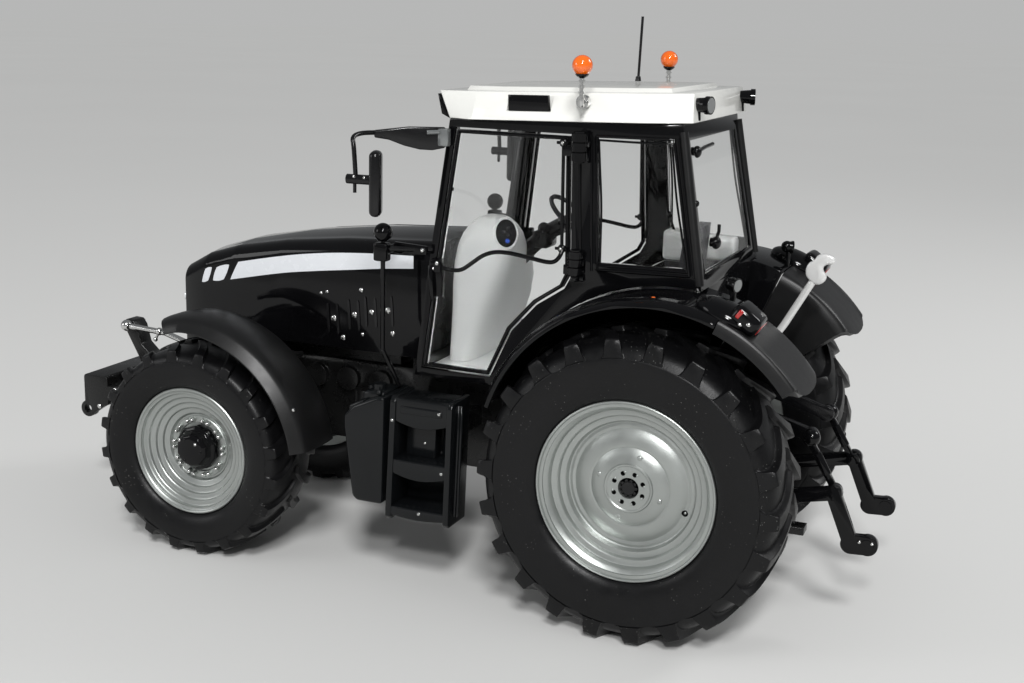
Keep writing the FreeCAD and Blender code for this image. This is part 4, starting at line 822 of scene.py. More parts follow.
cabSkin = [
    # z, then x and y of the rear corner, of the door post and of the front corner
    (43.6, -8.0, 23.4, 13.0, 25.2, 49.6, 24.2),
    (66.0, -8.9, 22.8, 13.3, 25.0, 47.0, 23.7),
    (95.4, -3.4, 21.0, 15.0, 23.7, 43.5, 22.1),
]
cabTrim = {
    "door": [(47.35, 46.0), (41.45, 93.2), (18.25, 93.2), (17.2, 67.5), (18.3, 65.1), (23.8, 61.2), (28.9, 55.5),
             (33.4, 46.0)],
    "side": [(12.6, 93.8), (-1.7, 93.8), (-6.4, 69.0), (11.0, 69.0)],
    "grab": [(43.3, 25.0, 66.5), (41.5, 26.3, 66.4), (38.7, 26.4, 66.4), (36.4, 26.4, 68.1), (34.1, 26.4, 69.9),
             (31.7, 26.4, 70.8), (28.9, 26.4, 70.9), (26.3, 26.4, 70.6), (23.6, 26.4, 70.2), (21.2, 26.4, 69.8),
             (19.3, 26.4, 69.8), (18.2, 26.2, 70.9), (17.9, 25.6, 72.2)],
    "bar": ((18.2, 25.2, 72.4), (18.7, 24.7, 92.4)),
    "hinge": (15.0, 26.1), "hinges": ((92.0, 5.4), (70.2, 4.6)),  # axis in x and y; middle and height of each
    "lock": ((43.6, 46.0), (23.6, 25.4), (65.2, 68.0)),
    "lockArm": [(45.7, 25.2, 66.6), (45.6, 25.6, 65.0), (45.3, 25.7, 62.4), (45.2, 25.5, 60.4), (45.0, 24.9, 59.6)],
    # place, radius and flatness
    "dots": [((44.4, 25.4, 67.2), 0.42, 0.5), ((45.4, 25.4, 66.0), 0.42, 0.5), ((18.7, 25.1, 92.4), 0.45, 1),
             ((18.2, 25.7, 72.4), 0.40, 1)],
    "rearPost": ((-3.4, 20.9, 95.3), (-8.4, 22.5, 67.2)),
    "postSeals": (((15.9, 94.2), (14.4, 68.6)), ((13.6, 94.2), (12.2, 68.6)), ((-2.6, 94.2), (-7.4, 68.6))),
    # motor, latch and boss
    "rearWindowKnobs": ((-4.1, 13.6, 91.2, 1.15), (-7.8, 9.6, 73.6, 1.25), (-6.2, 19.6, 82.2, 0.6)),
    "wiper": [(-4.2, 13.4, 91.2), (-4.2, 8.0, 91.7), (-4.2, 2.4, 91.9)],
    "latch": [(-7.9, 9.6, 74.6), (-7.9, 8.2, 75.6), (-7.9, 8.2, 77.0)],
}


def skinAt(x, z):
    # y of the cab's side at a place
    rows = cabSkin
    low, high = (rows[0], rows[1]) if z < rows[1][0] else (rows[1], rows[2])
    t = (z - low[0]) / (high[0] - low[0])
    rear, rearY, post, postY, front, frontY = [a + (b - a) * t for a, b in zip(low[1:], high[1:])]
    if x < post:
        return postY + (rearY - postY) * (post - x) / (post - rear)
    return postY + (frontY - postY) * (x - post) / (front - post)


def sealLoop(bm, corners, radius, lift, inset=0.0):
    # a round seal on the cab's side along a closed outline, in two halves
    run = 14
    centre = Vector((sum(c[0] for c in corners) / len(corners), sum(c[1] for c in corners) / len(corners)))
    spots = []
    for i, corner in enumerate(corners):
        a, b = Vector(corner), Vector(corners[(i + 1) % len(corners)])
        for k in range(run):
            spot = a.lerp(b, k / run)
            if k > 0 or (a - b).length > 3:
                spot = spot - (spot - centre).normalized() * inset
            spots.append((spot.x, skinAt(spot.x, spot.y) + lift, spot.y))
    half = len(spots) // 2
    for part in (spots[:half + 1], spots[half:] + spots[:1]):
        tubeAlong(bm, part, radius, 8)


def makeDoorTrim():
    t = cabTrim
    hx, hy = t["hinge"]
    for side, word in sides:
        bm = bmesh.new()
        sealLoop(bm, t["door"], 0.30, 0.05)
        tubeAlong(bm, t["grab"], 0.42, rounding=2)
        for middle, height in t["hinges"]:
            third = height / 3
            for k in range(3):
                low = middle - height / 2 + k * height / 3
                radius = 1.45 if k == 1 else 1.6
                turnedRod(bm, (hx, hy, low + 0.05), (hx, hy, low + third - 0.22), radius, segments=24)
                turnedRod(bm, (hx, hy, low - 0.2), (hx, hy, low + third + 0.1), 1.1, segments=24)
        turnedRod(bm, *t["bar"], 0.34, segments=14)
        for x, y, z in t["bar"]:
            ballAt(bm, (x, y, z), 0.85, rings=10, squashed=(1, 0.6, 1))
            turnedRod(bm, (x, y - 1.2, z), (x, y + 0.2, z), 0.5, segments=16)
            turnedRod(bm, (x - 1.0, y, z), (x + 1.3, y, z), 0.3, segments=12)
        blockAt(bm, *t["lock"], 0.3)
        tubeAlong(bm, t["lockArm"], 0.55, 12, rounding=1)
        for spot, radius, flat in t["dots"]:
            dotsAt(bm, [spot], radius, flat)
        flip(bm, side)
        settle("doorTrim_" + word, bm, "blackGloss bright", "door_frame_" + word, stands=False, smooth=50)


def makeCabSeals():
    t = cabTrim
    bm = bmesh.new()
    sealLoop(bm, t["side"], 0.30, 0.08, inset=-0.1)
    sealLoop(bm, t["side"], 0.22, -0.05, inset=0.75)
    for top, foot in t["postSeals"]:
        spots = [between(top, foot, k / 8) for k in range(9)]
        tubeAlong(bm, [(x, skinAt(x, z) + 0.05, z) for x, z in spots], 0.26, 8)
    tubeAlong(bm, t["rearPost"], 0.85, 20, finish=1)
    mirrorAcross(bm)
    for x, y, z, radius in t["rearWindowKnobs"]:
        ballAt(bm, (x, y, z), radius, rings=12, squashed=(0.8, 1, 1))
        turnedRod(bm, (x - 0.2, y, z), (x + 1.4, y, z), radius * 0.7)
    tubeAlong(bm, t["wiper"], 0.38, 10)
    tubeAlong(bm, t["latch"], 0.35, 10)
    settle("cabSeals", bm, "blackGloss darkTrim", "cab_frame", stands=False, smooth=50)


# roof lamps and beacons

roofTrim = {
    "panel": [(22.6, 97.9), (30.9, 97.7), (31.1, 100.7), (22.9, 100.9)],
    "lamp": ((-4.4, 17.2, 100.2), (-7.4, 17.9, 100.2)), "lampStem": ((-0.4, 0, 0), (-0.6, 0, -2.9)),
    "beacon": (14.3, 28.1, 106.9),
    # radius and height from the middle of the dome
    "cup": [(0.0, -2.3), (0.5, -2.3), (0.7, -2.15), (1.0, -1.98), (1.22, -1.72), (1.28, -1.55), (1.18, -1.45),
            (0.9, -1.6), (0.0, -1.7)],
    "stemFoot": (15.5, 23.9, 100.1),
}


def makeBeacons():
    t = roofTrim
    x, y, z = t["beacon"]
    bm = bmesh.new()
    ballAt(bm, (x, y, z), 1.9, rings=24)
    mirrorAcross(bm)
    settle("beaconDomes", bm, "amber", "beacons")
    bm = bmesh.new()
    ring = [bm.verts.new((x + r, y, z + h)) for r, h in t["cup"]]
    edges = [bm.edges.new(pair) for pair in zip(ring, ring[1:])]
    spun(bm, ring + edges, 360, 40, centre=(x, y, z), axis=(0, 0, 1))
    mirrorAcross(bm)
    settle("beaconCups", bm, "blackTrim", "beacon_stems", stands=False)
    bm = bmesh.new()
    fx, fy, fz = t["stemFoot"]
    turnedRod(bm, (x, y, z - 2.1), (x, y, z - 6.6), 0.42, segments=16)
    for k in range(4):
        level = z - 2.6 - 1.05 * k
        turnedRod(bm, (x, y, level), (x, y, level - 0.35), 0.62)
    tubeAlong(bm, [(x, y, z - 6.2), (x, y, z - 7.1), (x, y - 0.6, z - 7.3), (fx, fy, fz)], 0.45, 12, rounding=1)
    rodsAcross(bm, [(fx, fz)], fy + 0.25, fy - 1.2, 1.25, segments=32)
    rodsAcross(bm, [(fx, fz)], fy + 0.5, fy + 0.1, 0.75, segments=24)
    mirrorAcross(bm)
    settle("beaconStems", bm, "bright", "beacon_stems")


# console and steering column

consoleShape = {
    # z, front x, rear x, y to the left and to the right
    "levels": [(45.0, 47.4, 41.6, 14.8, -13.0), (50.0, 47.4, 39.6, 14.8, -13.0), (56.0, 47.4, 37.4, 14.8, -12.5),
               (61.0, 47.4, 35.8, 14.8, -10.0), (65.4, 47.2, 34.6, 14.4, -5.0), (68.8, 46.6, 34.2, 13.6, 0.0),
               (71.4, 45.6, 34.6, 12.6, 1.6), (73.2, 44.4, 35.6, 11.4, 3.0), (74.4, 43.0, 36.8, 10.2, 4.2),
               (75.0, 41.8, 38.0, 9.2, 5.2)],
    "squareness": 4.0, "around": 56,
    "panel": (37.4, 8.4, 71.0), "panelSize": (3.1, 2.3), "panelWay": (-0.52, 0.80, 0.30),
    # radius, depth from and to, finish; place on the panel, radius, finish
    "panelRings": ((1.18, -1.6, 0.30, 0), (1.0, -1.0, 0.48, 1)),
    "panelKnobs": ((0.5, 0.9, 0.42, 2), (-0.5, 0.3, 0.34, 2), (0.5, -0.4, 0.36, 2), (0.2, -1.6, 0.5, 3)),
    "column": [(37.5, 1.0, 64.0), (34.0, 0.6, 68.0), (30.4, 0.2, 71.4), (27.6, 0.0, 73.0)],
    "switches": ((29.4, 33.0), (-2.6, 3.4), (68.2, 71.8)), "lever": ((30.4, 2.0, 71.4), (29.8, 5.6, 72.8)),
    # pale shelves and side console at the seat, each with its rounding, and the levers
    "shelves": [((-5.4, 8.6), (13.2, 19.6), (66.1, 68.2), 0.7), ((-5.4, 6.4), (-19.6, -13.2), (66.1, 70.8), 0.9),
                ((0.0, 8.4), (-14.8, -9.2), (66.1, 72.4), 0.9)],
    "knobs": ((6.4, -11.0, 1.2), (4.0, -12.6, 0.6)),
}


def makeConsole():
    c = consoleShape
    bm = bmesh.new()
    loops = []
    last = len(c["levels"]) - 1
    for i, (z, front, rear, left, right) in enumerate(c["levels"]):
        made = bmesh.ops.create_circle(bm, cap_ends=i in (0, last), segments=c["around"], radius=1.0)
        for v in made["verts"]:
            a, b = v.co.x, v.co.y
            grow = (abs(a) ** c["squareness"] + abs(b) ** c["squareness"]) ** (-1 / c["squareness"])
            a, b = a * grow, b * grow
            v.co = ((front + rear) / 2 + a * (front - rear) / 2, (left + right) / 2 + b * (left - right) / 2, z)
        loops.append(list({e for v in made["verts"] for e in v.link_edges}))
    bridge(bm, loops)
    body = settle("consoleBody", bm, "paleTrim", "console", smooth=60)

    way = Vector(c["panelWay"]).normalized()
    spot = surfaceOf(body.data).ray_cast(Vector(c["panel"]) + way * 30, -way)[0]
    bm = bmesh.new()
    for radius, low, high, finish in c["panelRings"]:
        before = set(bm.verts)
        bmesh.ops.create_cone(bm, cap_ends=True, segments=40, radius1=radius, radius2=radius * 0.92, depth=high - low,
                              matrix=Matrix.Translation((0, 0, (high + low) / 2)))
        fresh = [v for v in bm.verts if v not in before]
        bmesh.ops.scale(bm, vec=(c["panelSize"][1], c["panelSize"][0], 1), verts=fresh)
        for f in {f for v in fresh for f in v.link_faces}:
            f.material_index = finish
    for x, y, radius, finish in c["panelKnobs"]:
        ballAt(bm, (x, y, 0.48), radius, finish, 8, (1, 1, 0.5))
    bmesh.ops.transform(bm, matrix=standing(spot, way), verts=bm.verts)
    settle("consolePanel", bm, "paleTrim blackTrim seatTrim blueSpot", "console", stands=False, smooth=50)

    # column, switch cluster and lever under the wheel
    bm = bmesh.new()
    tubeAlong(bm, c["column"], 1.7, 20)
    blockAt(bm, *c["switches"], 0.7, segments=3)
    ballAt(bm, (30.6, 2.6, 72.4), 1.3, rings=12)
    turnedRod(bm, *c["lever"], 0.32, segments=12)
    ballAt(bm, c["lever"][1], 0.62, rings=10)
    settle("steeringColumn", bm, "blackTrim", "console", stands=False, smooth=45)
    bm = bmesh.new()
    for x, y, z, edge in c["shelves"]:
        blockAt(bm, x, y, z, edge, segments=3)
    settle("deckShelves", bm, "paleTrim", "cab_floor", stands=False, smooth=45)
    bm = bmesh.new()
    for x, y, tilt in c["knobs"]:
        turnedRod(bm, (x, y, 72.2), (x + tilt, y, 75.2), 0.3, segments=12)
        ballAt(bm, (x + tilt, y, 75.4), 0.75, rings=10)
    settle("leverKnobs", bm, "blackTrim", "cab_floor", stands=False, smooth=45)


# rear fenders: extensions and lamps

rearTrim = {
    "centre": (-3.0, 0.0, 32.8), "start": 112.3, "end": 147.0,
    # radius and y round the section of the moulded extension
    "section": [(22.5, 17.6), (31.2, 17.6), (32.6, 17.75), (33.3, 18.2), (33.6, 18.9), (33.75, 20.0), (33.82, 22.0),
                (33.85, 24.5), (33.86, 27.4), (33.86, 30.0), (33.84, 32.5), (33.8, 34.4), (33.78, 35.7),
                (33.95, 36.1), (33.98, 36.5), (33.8, 36.8), (33.3, 37.05), (31.4, 37.2), (31.2, 36.7),
                (32.4, 36.5), (32.8, 35.6), (32.9, 33.6), (32.9, 27.4), (32.9, 20.8), (32.7, 19.4),
                (32.0, 18.7), (31.0, 18.5), (22.5, 18.5)],
    "podTurn": 23.0, "podPlace": (-16.2, 31.4, 64.1), "podHalf": (6.4, 4.3, 2.6),
    "housing": (-20.0, 31.9, 64.2), "housingTurn": 37.0, "housingHalf": (2.9, 3.5, 1.9),
    "podDots": ((-19.3, 35.4, 63.6), (-20.8, 35.4, 63.7)), "amberDot": (-3.0, 34.2, 66.5),
    "tailStart": 132, "tailCut": 4.6, "middle": 27.4, "half": 9.8,
    "lamp": (-15.3, 24.6, 68.6), "lampWay": (-0.88, 0.36, -0.1),
    # along the lamp from and to, radius from and to, finish
    "lampRings": [(-0.6, 0.8, 1.1, 1.3, 0), (0.5, 0.9, 1.38, 1.38, 0), (0.7, 0.98, 1.15, 1.15, 1)],
    "lampStem": ((0, 0, -0.6), (0, 0, -2.4), (0.2, 0.4, -4.9)),
}


def makeRearFenders():
    t = rearTrim
    bm = bmesh.new()
    sweptSection(bm, t["section"], t["start"], t["end"], 24)
    for v in bm.verts:
        # the tail is rounded off at both sides
        turn = 180 - math.degrees(math.atan2(v.co.z, -v.co.x))
        near = (turn - t["tailStart"]) / (t["end"] - t["tailStart"])
        if near > 0:
            off = min(abs(v.co.y - t["middle"]) / t["half"], 1.0)
            v.co = yTurn(t["tailCut"] * near * off ** 3, 3) @ v.co
    bmesh.ops.translate(bm, vec=t["centre"], verts=bm.verts)
    mirrorAcross(bm)
    settle("extensionShells", bm, "darkTrim", "fender_extensions", smooth=38)

    bm = bmesh.new()
    place = Matrix.Translation(t["podPlace"]) @ yTurn(-t["podTurn"]) @ Matrix.Diagonal((*t["podHalf"], 1))
    bmesh.ops.create_uvsphere(bm, u_segments=40, v_segments=24, radius=1.0, matrix=place)
    a, b, c = t["housingHalf"]
    place = Matrix.Translation(t["housing"]) @ yTurn(-t["housingTurn"])
    blockAt(bm, (-a, a), (-b, b), (-c, c), 1.3, segments=5, turn=place)
    blockAt(bm, (-a - 0.12, -a + 0.5), (-b + 1.0, b - 1.0), (-0.9, 1.1), 0.35, finish=1, segments=3, turn=place)
    blockAt(bm, (1.0, 1.9), (b - 1.2, b + 0.10), (-0.5, 1.3), 0.3, finish=1, segments=3, turn=place)
    dotsAt(bm, t["podDots"], 0.46, 0.8, 10, finish=2)
    ballAt(bm, t["amberDot"], 0.5, 3, 8, (1, 1, 0.6))
    mirrorAcross(bm)
    settle("lampPods", bm, "blackGloss redLens bright amber", "tail_lamps", smooth=50)


def makeWorkLamps():
    bm = bmesh.new()
    spot, way = Vector(rearTrim["lamp"]), Vector(rearTrim["lampWay"]).normalized()
    ballAt(bm, spot - way * 0.4, 1.25, rings=14)
    for start, end, radius, endRadius, finish in rearTrim["lampRings"]:
        turnedRod(bm, spot + way * start, spot + way * end, radius, endRadius, 28, finish)
    tubeAlong(bm, [spot + Vector(k) for k in rearTrim["lampStem"]], 0.55, 12)
    start, end = (Vector(k) for k in roofTrim["lamp"])
    way = (end - start).normalized()
    turnedRod(bm, start, end, 1.25, 1.55, segments=32)
    turnedRod(bm, end - way * 0.25, end + way * 0.12, 1.42, segments=32, finish=1)
    turnedRod(bm, end - way * 0.9, end + way * 0.05, 1.68, segments=32)
    turnedRod(bm, *(start + Vector(k) for k in roofTrim["lampStem"]), 0.45, segments=12)
    plateAt(bm, roofTrim["panel"], 21.65, 22.75)
    mirrorAcross(bm)
    settle("workLamps", bm, "blackGloss lampDim", "work_lamps", smooth=40)


# rear linkage

linkTrim = {
    "topBar": [(-14.9, 0, 48.6), (-20.2, 0, 56.8), (-25.4, 0, 66.4)],
    # x and z of the claw's outline, its mouth open to the rear
    "claw": [(-24.6, 66.3), (-23.8, 67.2), (-23.75, 68.6), (-24.3, 69.8), (-25.0, 70.1), (-25.5, 70.7),
             (-25.9, 71.4), (-27.0, 71.75), (-28.5, 71.6), (-29.4, 70.9), (-29.3, 70.1), (-28.7, 69.75),
             (-27.9, 69.75), (-27.2, 69.3), (-27.0, 68.7), (-27.25, 68.1), (-27.8, 67.6), (-27.8, 66.6),
             (-27.0, 65.7), (-25.8, 65.5)],
    "armBall": (-29.0, 10.0, 37.3),
    "eye": (-41.6, 18.2, 1.25),  # x, z and radius of a lower link's end
    "linkY": (11.4, 13.2),
}


def makeRearLinks():
    t = linkTrim
    bm = bmesh.new()
    tubeAlong(bm, t["topBar"], 0.74, 18)
    plateAt(bm, roundedOutline(t["claw"]), -0.8, 0.8, 0.5, segments=4)
    rodsAcross(bm, [t["topBar"][0][::2]], -0.75, 0.75, 1.3, segments=24)
    settle("topLinkRod", bm, "brightWhite", "top_link", smooth=45)
    bm = bmesh.new()
    x, z, radius = t["eye"]
    low, high = t["linkY"]
    rodsAcross(bm, [(x, z)], low - 0.12, high + 0.12, radius, segments=28)
    # two bright metal dots on each claw's top edge stand for its highlights: painted highlights
    dotsAt(bm, [(x + along, high + 0.12, z + 0.7) for along in (1.5, -0.9)], 0.36, 0.6)
    mirrorAcross(bm)
    settle("clawCaps", bm, "blackGloss bright", "lower_links", stands=False)
    bm = bmesh.new()
    ballAt(bm, t["armBall"], 1.75, rings=20)
    mirrorAcross(bm)
    settle("armBalls", bm, "blackGloss", "lift_arms", stands=False)


# front fenders and linkage

frontTrim = {
    "centre": (98.0, 0.0, 23.0), "start": 76.8, "end": 172.0,
    # radius and y round the section of the front fender
    "section": [(28.3, 23.7), (29.3, 23.7), (29.5, 24.6), (29.72, 26.1), (29.85, 28.5), (29.85, 31.0), (29.7, 33.0),
                (29.4, 34.4), (29.0, 35.25), (28.6, 35.65), (26.85, 36.95), (26.6, 36.95), (26.6, 36.3), (27.1, 34.9),
                (27.7, 33.7), (28.3, 32.6), (28.4, 30.0), (28.4, 26.3)],
    "plate": [(-3.1, 0.6), (-3.1, 3.8), (-14.51, 20.72), (-17.63, 20.44), (-18.63, 19.74), (-16.93, 18.80),
              (-4.5, 0.6)],
    "tower": [(126.5, 33.0), (129.5, 29.0), (133.4, 29.5), (139.5, 40.4), (138.5, 41.5),
              (136.3, 41.4), (135.3, 40.0), (134.2, 35.8), (132.0, 33.8), (129.0, 33.4)],
    "pins": [(135.4, 26.2), (140.2, 21.6)],
    "tipStart": 94.0, "tipCut": 4.5, "middle": 30.3, "half": 6.65,
    "foot": ((-4.3, -3.1), (18.0, 21.6), (0.6, 3.8)), "stay": ((-18.13, 18.2, 20.14), (-19.14, 24.9, 21.25)),
    "screw": (29.15, 34.9, 154),  # radius, y and turn
    "block": ((121.0, 130.5), (-8.2, 8.2), (21.5, 33.5)), "armAxle": (128.0, 25.5),
    "rod": [(137.2, 3.5, 40.3), (126.0, 3.5, 39.7), (118.9, 3.5, 37.7)],
    "rodGrip": ((127.6, 3.7, 39.9), (128.6, 3.9, 37.9)),
}


def makeFrontFenders():
    t = frontTrim
    for side, word in sides:
        bm = bmesh.new()
        sweptSection(bm, t["section"], t["start"], t["end"], 56)
        for v in bm.verts:
            # the tip is rounded off and bends down
            near = max(0.0, (t["tipStart"] - math.degrees(math.atan2(v.co.z, v.co.x))) / 16.0)
            off = min(1.0, abs(v.co.y - t["middle"]) / t["half"])
            drop = 1 - 0.7 * near ** 2 / 29.0
            v.co = yTurn(-t["tipCut"] * near * off ** 3, 3) @ v.co
            v.co.x *= drop
            v.co.z *= drop
        plateAt(bm, t["plate"], 18.0, 19.0, 0.15)
        blockAt(bm, *t["foot"])
        turnedRod(bm, *t["stay"], 0.6)
        screwRadius, screwY, screwTurn = t["screw"]
        dotsAt(bm, [(x, screwY, z) for x, z in ringSpots(1, screwRadius, screwTurn)], 0.42)
        bmesh.ops.translate(bm, vec=t["centre"], verts=bm.verts)
        flip(bm, side)
        settle("front_fender_%sShell" % word, bm, "darkTrim bright", "front_fender_" + word, smooth=36)


def makeFrontLinkage():
    t = frontTrim
    bm = bmesh.new()
    blockAt(bm, *t["block"], 1.1, segments=3)
    plateAt(bm, t["tower"], -2.2, 2.2, 0.35, segments=3)
    rodsAcross(bm, [t["armAxle"]], -12.1, 12.1, 0.9)
    settle("frontTower", bm, "castBlack", "front_linkage", smooth=40)
    bm = bmesh.new()
    x, y, z = t["rod"][0]
    ballAt(bm, (x, y, z), 1.4)
    tubeAlong(bm, t["rod"], 0.7, 16)
    rodsAcross(bm, [(x, z)], -3.0, 3.0, 0.65)
    for spot, radius, rings in zip(t["rodGrip"], (0.95, 0.55), (10, 8)):
        ballAt(bm, spot, radius, rings=rings)
    turnedRod(bm, *t["rodGrip"], 0.3, segments=10)
    settle("frontRod", bm, "bright", "front_top_link", smooth=45)
    bm = bmesh.new()
    tree = surfaceOf(frame["nodes"]["front_arms"].data)
    dotsAt(bm, [(x, flankHit(tree, x, z).y, z) for x, z in t["pins"]], 0.6, 0.5, 10, finish=0)
    mirrorAcross(bm)
    settle("frontPins", bm, "bright", "front_arms", stands=False, smooth=45)


# mirrors and lamp stalks

mirrorTrim = {
    "root": (43.9, 23.3, 0), "turn": 28.0,
    # distance along the arm and z of its outline
    "arm": [(0.0, 93.9), (7.0, 93.9), (13.8, 93.1), (13.8, 91.7), (11.0, 91.3), (8.0, 90.2), (5.0, 89.5), (2.5, 89.4),
            (0.0, 89.9)],
    "tube": [(56.0, 29.3, 92.6), (57.9, 32.0, 92.6), (58.3, 34.6, 92.0), (57.6, 35.2, 90.4), (57.2, 35.2, 84.4)],
    "head": (53.0, 34.9, 83.4), "headSize": (2.4, 4.6, 12.6), "headTurn": 22.0,
    "clamp": ((59.0, 35.2, 84.0), (53.8, 35.0, 84.0)), "clampPin": ((57.4, 35.2, 84.2), (57.4, 35.2, 81.4)),
    # the dots are bright metal spots on the clamp that stand for its highlights: painted highlights
    "dots": ((57.2, 35.9, 84.6), (55.0, 35.8, 84.5)),
    "bracket": ((42.8, 45.4), (22.8, 24.6), (90.2, 93.7)), "bracketArm": [(44.6, 24.6, 93.0), (46.6, 26.0, 92.9)],
    "stalk": [(55.0, 28.0, 71.0), (55.0, 28.0, 49.0), (52.2, 26.0, 41.4)], "stalkBall": (55.0, 28.0, 72.9),
    "stalkBlock": ((53.6, 56.6), (27.0, 29.4), (67.2, 70.9)),
    "stalkPlate": [(46.6, 68.6), (54.0, 68.4), (54.0, 70.8), (46.6, 70.4)],
    "stalkPin": ((53.8, 25.2, 69.6), (54.6, 28.0, 69.4)), "stalkDot": (47.4, 25.7, 69.6),
}


def makeMirrors():
    t = mirrorTrim
    bm = bmesh.new()
    plateAt(bm, t["arm"], -0.6, 0.7, 0.3, segments=3)
    bmesh.ops.rotate(bm, cent=origin, matrix=Matrix.Rotation(math.radians(t["turn"]), 3, "Z"), verts=bm.verts)
    bmesh.ops.translate(bm, vec=t["root"], verts=bm.verts)
    tubeAlong(bm, t["tube"], 0.46, rounding=2)
    turnedRod(bm, *t["clamp"], 0.95)
    turnedRod(bm, *t["clampPin"], 0.35, segments=12)
    # bright dots on the black clamp: painted highlights
    dotsAt(bm, t["dots"], 0.34)
    x, y, z = (size / 2 for size in t["headSize"])
    turn = Matrix.Translation(t["head"]) @ Matrix.Rotation(math.radians(t["headTurn"]), 4, "Z")
    blockAt(bm, (-x, x), (-y, y), (-z, z), 1.1, segments=4, turn=turn)
    blockAt(bm, *t["bracket"], 0.3, finish=2)
    tubeAlong(bm, t["bracketArm"], 0.45, 12, finish=2)
    mirrorAcross(bm)
    settle("mirrorArms", bm, "blackTrim bright lampDim", "mirrors", smooth=45)

    bm = bmesh.new()
    ballAt(bm, t["stalkBall"], 1.9, rings=20)
    blockAt(bm, *t["stalkBlock"], 0.5, segments=3)
    plateAt(bm, t["stalkPlate"], 24.6, 25.6, 0.25)
    turnedRod(bm, *t["stalkPin"], 0.8, segments=16)
    dotsAt(bm, [t["stalkDot"]], 0.5)
    tubeAlong(bm, t["stalk"], 0.48)
    mirrorAcross(bm)
    settle("stalkHeads", bm, "blackGloss bright", "lamp_stalks", stands=False, smooth=45)


# steps and tanks

stepTrim = {
    "x": (36.6, 50.2), "y": (25.2, 33.9), "z": (15.2, 41.3), "side": 1.25,
    # height of each tread's top and lower face, and how far its front sags
    "treads": [(41.0, 36.4, 1.3), (28.2, 25.4, 1.2), (18.2, 16.4, 0.6)],
    "box": (28.0, 36.0), "lip": (38.0, 39.6),  # z from and to
    # the bright dots on the frames stand for highlights on them: painted highlights
    "dots": ((39.4, 33.88, 38.9), (49.5, 33.92, 36.4), (38.5, 33.6, 26.6), (44.0, 29.8, 31.2), (43.0, 33.5, 17.4)),
    # outline in x and z, y from and to, rounding and its segments: body, top cover and corner cover
    "tank": [([(52.3, 18.0), (58.2, 18.0), (59.2, 19.0), (61.1, 33.6), (61.1, 36.0), (58.8, 38.2), (53.4, 40.6),
               (51.8, 40.6)], 21.6, 33.5, 0.8, 4),
             ([(52.6, 39.6), (57.4, 38.4), (57.4, 40.9), (52.6, 41.2)], 24.0, 31.8, 0.5, 3),
             ([(56.4, 36.2), (60.0, 35.0), (59.9, 38.0), (56.6, 39.6)], 26.5, 33.3, 0.4, 3)],
    "necks": [((55.0, 29.0, 40.4), (55.0, 29.0, 42.2), 1.5, 1.35, 28),
              ((58.6, 25.2, 37.6), (58.6, 25.2, 40.6), 1.1, 1.0, 24)],
}


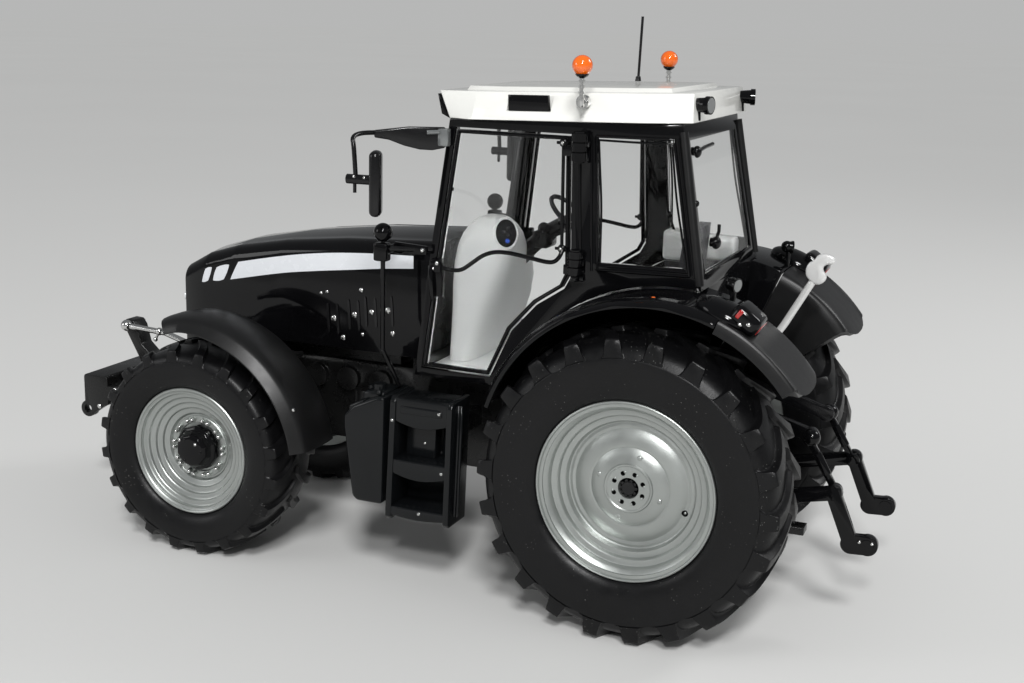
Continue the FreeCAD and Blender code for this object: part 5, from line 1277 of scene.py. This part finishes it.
def makeSteps():
    t = stepTrim
    x0, x1 = t["x"]
    y0, y1 = t["y"]
    z0, z1 = t["z"]
    bm = bmesh.new()
    cheek = [(y0, z1), (y1 - 0.8, z1), (y1, z1 - 1.0), (y1 - 0.2, z0 + 0.8), (y1 - 1.0, z0), (y0, z0)]
    for x in (x0, x1 - t["side"]):
        plateAt(bm, cheek, x, x + t["side"], 0.28, segments=3, acrossX=True)
    blockAt(bm, (x0 + 0.8, x1 - 0.8), (y0, y0 + 0.9), (z0 + 0.5, z1 - 0.5), 0.1)
    blockAt(bm, (x0 + 5.0, x1 - 2.0), (y0 + 0.6, y0 + 4.6), t["box"], 0.5, segments=3)
    for top, low, sag in t["treads"]:
        front = [(x0 + 0.6, low), (x0 + 0.6, top), (x1 - 0.6, top)]
        front += [(x1 - 0.6 - (x1 - x0 - 1.2) * k / 8, low - sag * math.sin(math.pi * k / 8)) for k in range(8)]
        plateAt(bm, front, y0 + 0.6, y1 - 0.35, 0.3, segments=3)
        for k in range(7):
            x = x0 + 2.6 + k * 1.4
            turnedRod(bm, (x, y1 - 2.2, top - 0.1), (x, y1 - 2.2, top + 0.22), 0.42, segments=10)
    blockAt(bm, (x0 + 2.2, x1 - 2.2), (y1 - 0.9, y1 - 0.1), t["lip"], 0.3, segments=3)
    for x in (x0 - 0.55, x0 - 1.15):
        tubeAlong(bm, [(x + 0.7, y1 - 3.4, z1 - 1.2), (x, y1 - 2.2, z1 - 3.0), (x, y1 - 2.0, z0 + 4.0),
                       (x + 0.7, y1 - 3.4, z0 + 2.0)], 0.34, 12, rounding=1)
    # bright metal dots placed as highlights on the frame: painted highlights
    dotsAt(bm, t["dots"], 0.34, 0.5)
    for v in bm.verts:
        # the frame leans forward towards its foot
        v.co.x += (z1 - v.co.z) * (0.028 + 0.020 * (v.co.x - x0) / (x1 - x0))
    mirrorAcross(bm)
    settle("stepFrames", bm, "satinTrim bright", "steps", smooth=42)

    bm = bmesh.new()
    for outline, low, high, edge, segments in t["tank"]:
        plateAt(bm, outline, low, high, edge, segments)
    for start, end, radius, endRadius, segments in t["necks"]:
        turnedRod(bm, start, end, radius, endRadius, segments)
    ballAt(bm, (53.6, 32.0, 41.1), 0.6, rings=10)
    mirrorAcross(bm)
    settle("tankShells", bm, "satinTrim", "fuel_tanks", smooth=42)


# CAD nodes that keep their own shape

easedNodes = {
    # node and how far its edges are eased, in mm
    "engine_gearbox": 0.15, "rear_axle": 0.15, "front_frame": 0.12, "front_axle": 0.12, "cab_frame": 0.10,
    "cab_floor": 0.08, "seat": 0.25, "exhaust": 0.10, "hitch": 0.12, "pto_shaft": 0.08, "front_arms": 0.12,
    "lift_arms": 0.10, "lift_rods": 0.08, "lower_links": 0.12, "tie_rod": 0.08, "knuckle_left": 0.10,
    "knuckle_right": 0.10, "door_frame_left": 0.08, "door_frame_right": 0.08, "bonnet": 0.15, "grille": 0.08,
    "headlamps": 0.05, "roof": 0.25, "steering_wheel": 0.05, "rear_fender_left": 0.15, "rear_fender_right": 0.15,
    "lamp_stalks": 0.08,
}
glossierNodes = {"lower_links": "blackGloss", "lift_rods": "blackGloss", "lift_arms": "blackTrim"}


def makeEased():
    for node, width in easedNodes.items():
        softened(node, glossierNodes.get(node, finishOfSlot[nodeSlots[node]]), width)


stages = {
    "studio": makeStudio, "finishes": makeFinishes, "tyres": makeTyres, "rims": makeRims, "hubs": makeHubs,
    "bonnet trim": makeBonnetTrim, "door trim": makeDoorTrim, "cab seals": makeCabSeals, "beacons": makeBeacons,
    "console": makeConsole, "rear fenders": makeRearFenders, "work lamps": makeWorkLamps,
    "rear links": makeRearLinks, "front fenders": makeFrontFenders, "front linkage": makeFrontLinkage,
    "mirrors": makeMirrors, "steps and tanks": makeSteps, "eased nodes": makeEased,
}
for stage, make in stages.items():
    make()
    print("stage:", stage)
